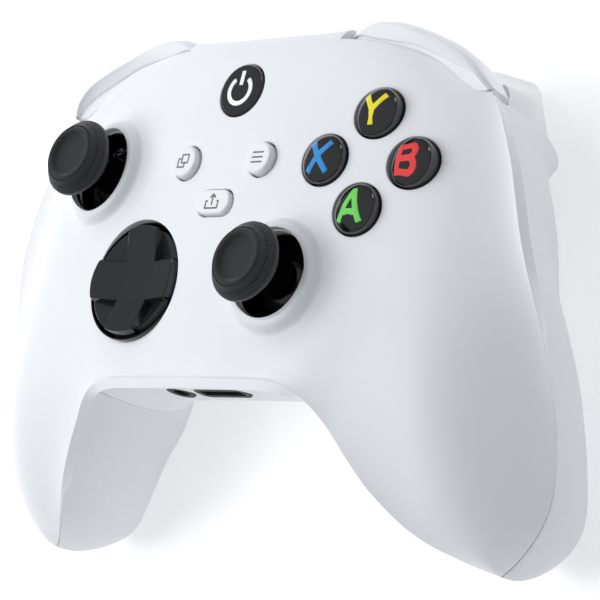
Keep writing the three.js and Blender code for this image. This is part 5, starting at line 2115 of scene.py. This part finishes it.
def finish_inner_nodes() -> None:
    """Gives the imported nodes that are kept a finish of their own."""
    for name, node in frame["nodes"].items():
        for start, finish in INNER_FINISHES.items():
            if name.startswith(start):
                node.data.materials.clear()
                node.data.materials.append(finish.value.build())


# ---- The room --------------------------------------------------------------------------------


@dataclass(frozen=True)
class Studio:
    """Camera, floor and soft light."""

    eye: Point3 = (454.0, -185.9, 419.4)
    gaze: Point3 = (-0.6873, 0.2528, -0.6810)
    down: Point3 = (-0.0078, -0.9400, -0.3410)
    lens: float = 190.9
    horizon: float = 0.2
    zenith: float = 0.5

    def camera(self, face: FaceFrame) -> None:
        """Sets the camera up, given in the face frame.

        Args:
            face: the face frame.
        """
        data = bpy.data.cameras.new("camera")
        data.lens = self.lens
        data.sensor_width = 36
        data.clip_end = 20
        camera = bpy.data.objects.new("camera", data)
        bpy.context.scene.collection.objects.link(camera)
        back = -face.direction(self.gaze)
        up = -face.direction(self.down)
        right = up.cross(back).normalized()
        up = back.cross(right)
        place = Vector(face.to_part(np.array([self.eye]))[0])
        turn = Matrix((right, up, back)).transposed().to_4x4()
        camera.matrix_world = Matrix.Translation(place) @ turn
        bpy.context.scene.camera = camera

    def light(self) -> None:
        """Adds a world that is brighter overhead and three soft lamps."""
        scene = bpy.context.scene
        scene.view_settings.view_transform = "Standard"
        world = bpy.data.worlds.new("studio")
        world.use_nodes = True
        tree = world.node_tree
        place = add_node(tree, "ShaderNodeTexCoord")
        parts = add_node(tree, "ShaderNodeSeparateXYZ", inputs={0: place.outputs["Generated"]})
        level = add_node(tree, "ShaderNodeMapRange", inputs={
            "Value": parts.outputs["Z"], "From Min": 0.05, "From Max": 0.85,
            "To Min": self.horizon, "To Max": self.zenith})
        ground = tree.nodes["Background"]
        ground.inputs["Color"].default_value = linear("#f4f6fa")
        tree.links.new(level.outputs["Result"], ground.inputs["Strength"])
        scene.world = world
        self._lamp("key", (-0.45, -0.05, 0.78), 0.6, 4.7, False)
        self._lamp("window", (-0.55, 0.42, 0.62), 0.7, 2.4, False)
        self._lamp("rim", (0.3, 0.85, 0.42), 0.22, 0.5, True)

    def _lamp(self, name: str, place: Point3, size: float, power: float, mirrored: bool) -> None:
        """Adds a square soft lamp that points at the controller.

        Args:
            name: the lamp's name.
            place: where it stands, in metres.
            size: its width and height.
            power: its power in watts.
            mirrored: whether polished surfaces mirror it.
        """
        data = bpy.data.lights.new(name, "AREA")
        data.size = size
        data.energy = power
        lamp = bpy.data.objects.new(name, data)
        lamp.visible_glossy = mirrored
        bpy.context.scene.collection.objects.link(lamp)
        aim = (Vector((0, 0, 0.03)) - Vector(place)).to_track_quat("-Z", "Y")
        lamp.matrix_world = Matrix.Translation(place) @ aim.to_matrix().to_4x4()

    def floor(self) -> None:
        """Adds the plain pale floor."""
        mesh = bpy.data.meshes.new("floor")
        half = 4.0
        mesh.from_pydata([(-half, -half, -0.0004), (half, -half, -0.0004), (half, half, -0.0004),
                          (-half, half, -0.0004)], [], [(0, 1, 2, 3)])
        material = bpy.data.materials.new("painted_floor_white")
        material.use_nodes = True
        shader = material.node_tree.nodes["Principled BSDF"]
        shader.inputs["Base Color"].default_value = linear("#ffffff")
        shader.inputs["Roughness"].default_value = 0.9
        shader.inputs["Emission Color"].default_value = linear("#ffffff")
        shader.inputs["Emission Strength"].default_value = 0.3
        mesh.materials.append(material)
        floor = bpy.data.objects.new("floor", mesh)
        bpy.context.scene.collection.objects.link(floor)


# ---- Everything together ---------------------------------------------------------------------


def main() -> None:
    """Builds the scene."""
    logging.basicConfig(level=logging.INFO, format="%(message)s")
    face = FaceFrame.from_joints(frame["joints"], {"bumper_right_press": BUMPER_PIVOT})
    studio = Studio()
    studio.camera(face)
    layout = Layout(face)
    collars = tuple(Collar(float(s[0]), float(s[1])) for s in (layout.stick_left, layout.stick_right))
    casing = Casing(collars=collars, seam=0.7)
    Shells(face, casing, layout).build()
    for side, label in SIDES:
        Bumper(face, side, label).build()
        Trigger(face, side, label).build()
        Thumbstick(face, casing, label).build()
    BatteryDoor(face).build()
    Letters(face, casing, layout).build()
    SmallButtons(face, casing, layout).build()
    DirectionPad(face, casing, layout).build()
    Sockets(face).build()
    finish_inner_nodes()
    studio.light()
    studio.floor()


if __name__ == "__main__":
    main()
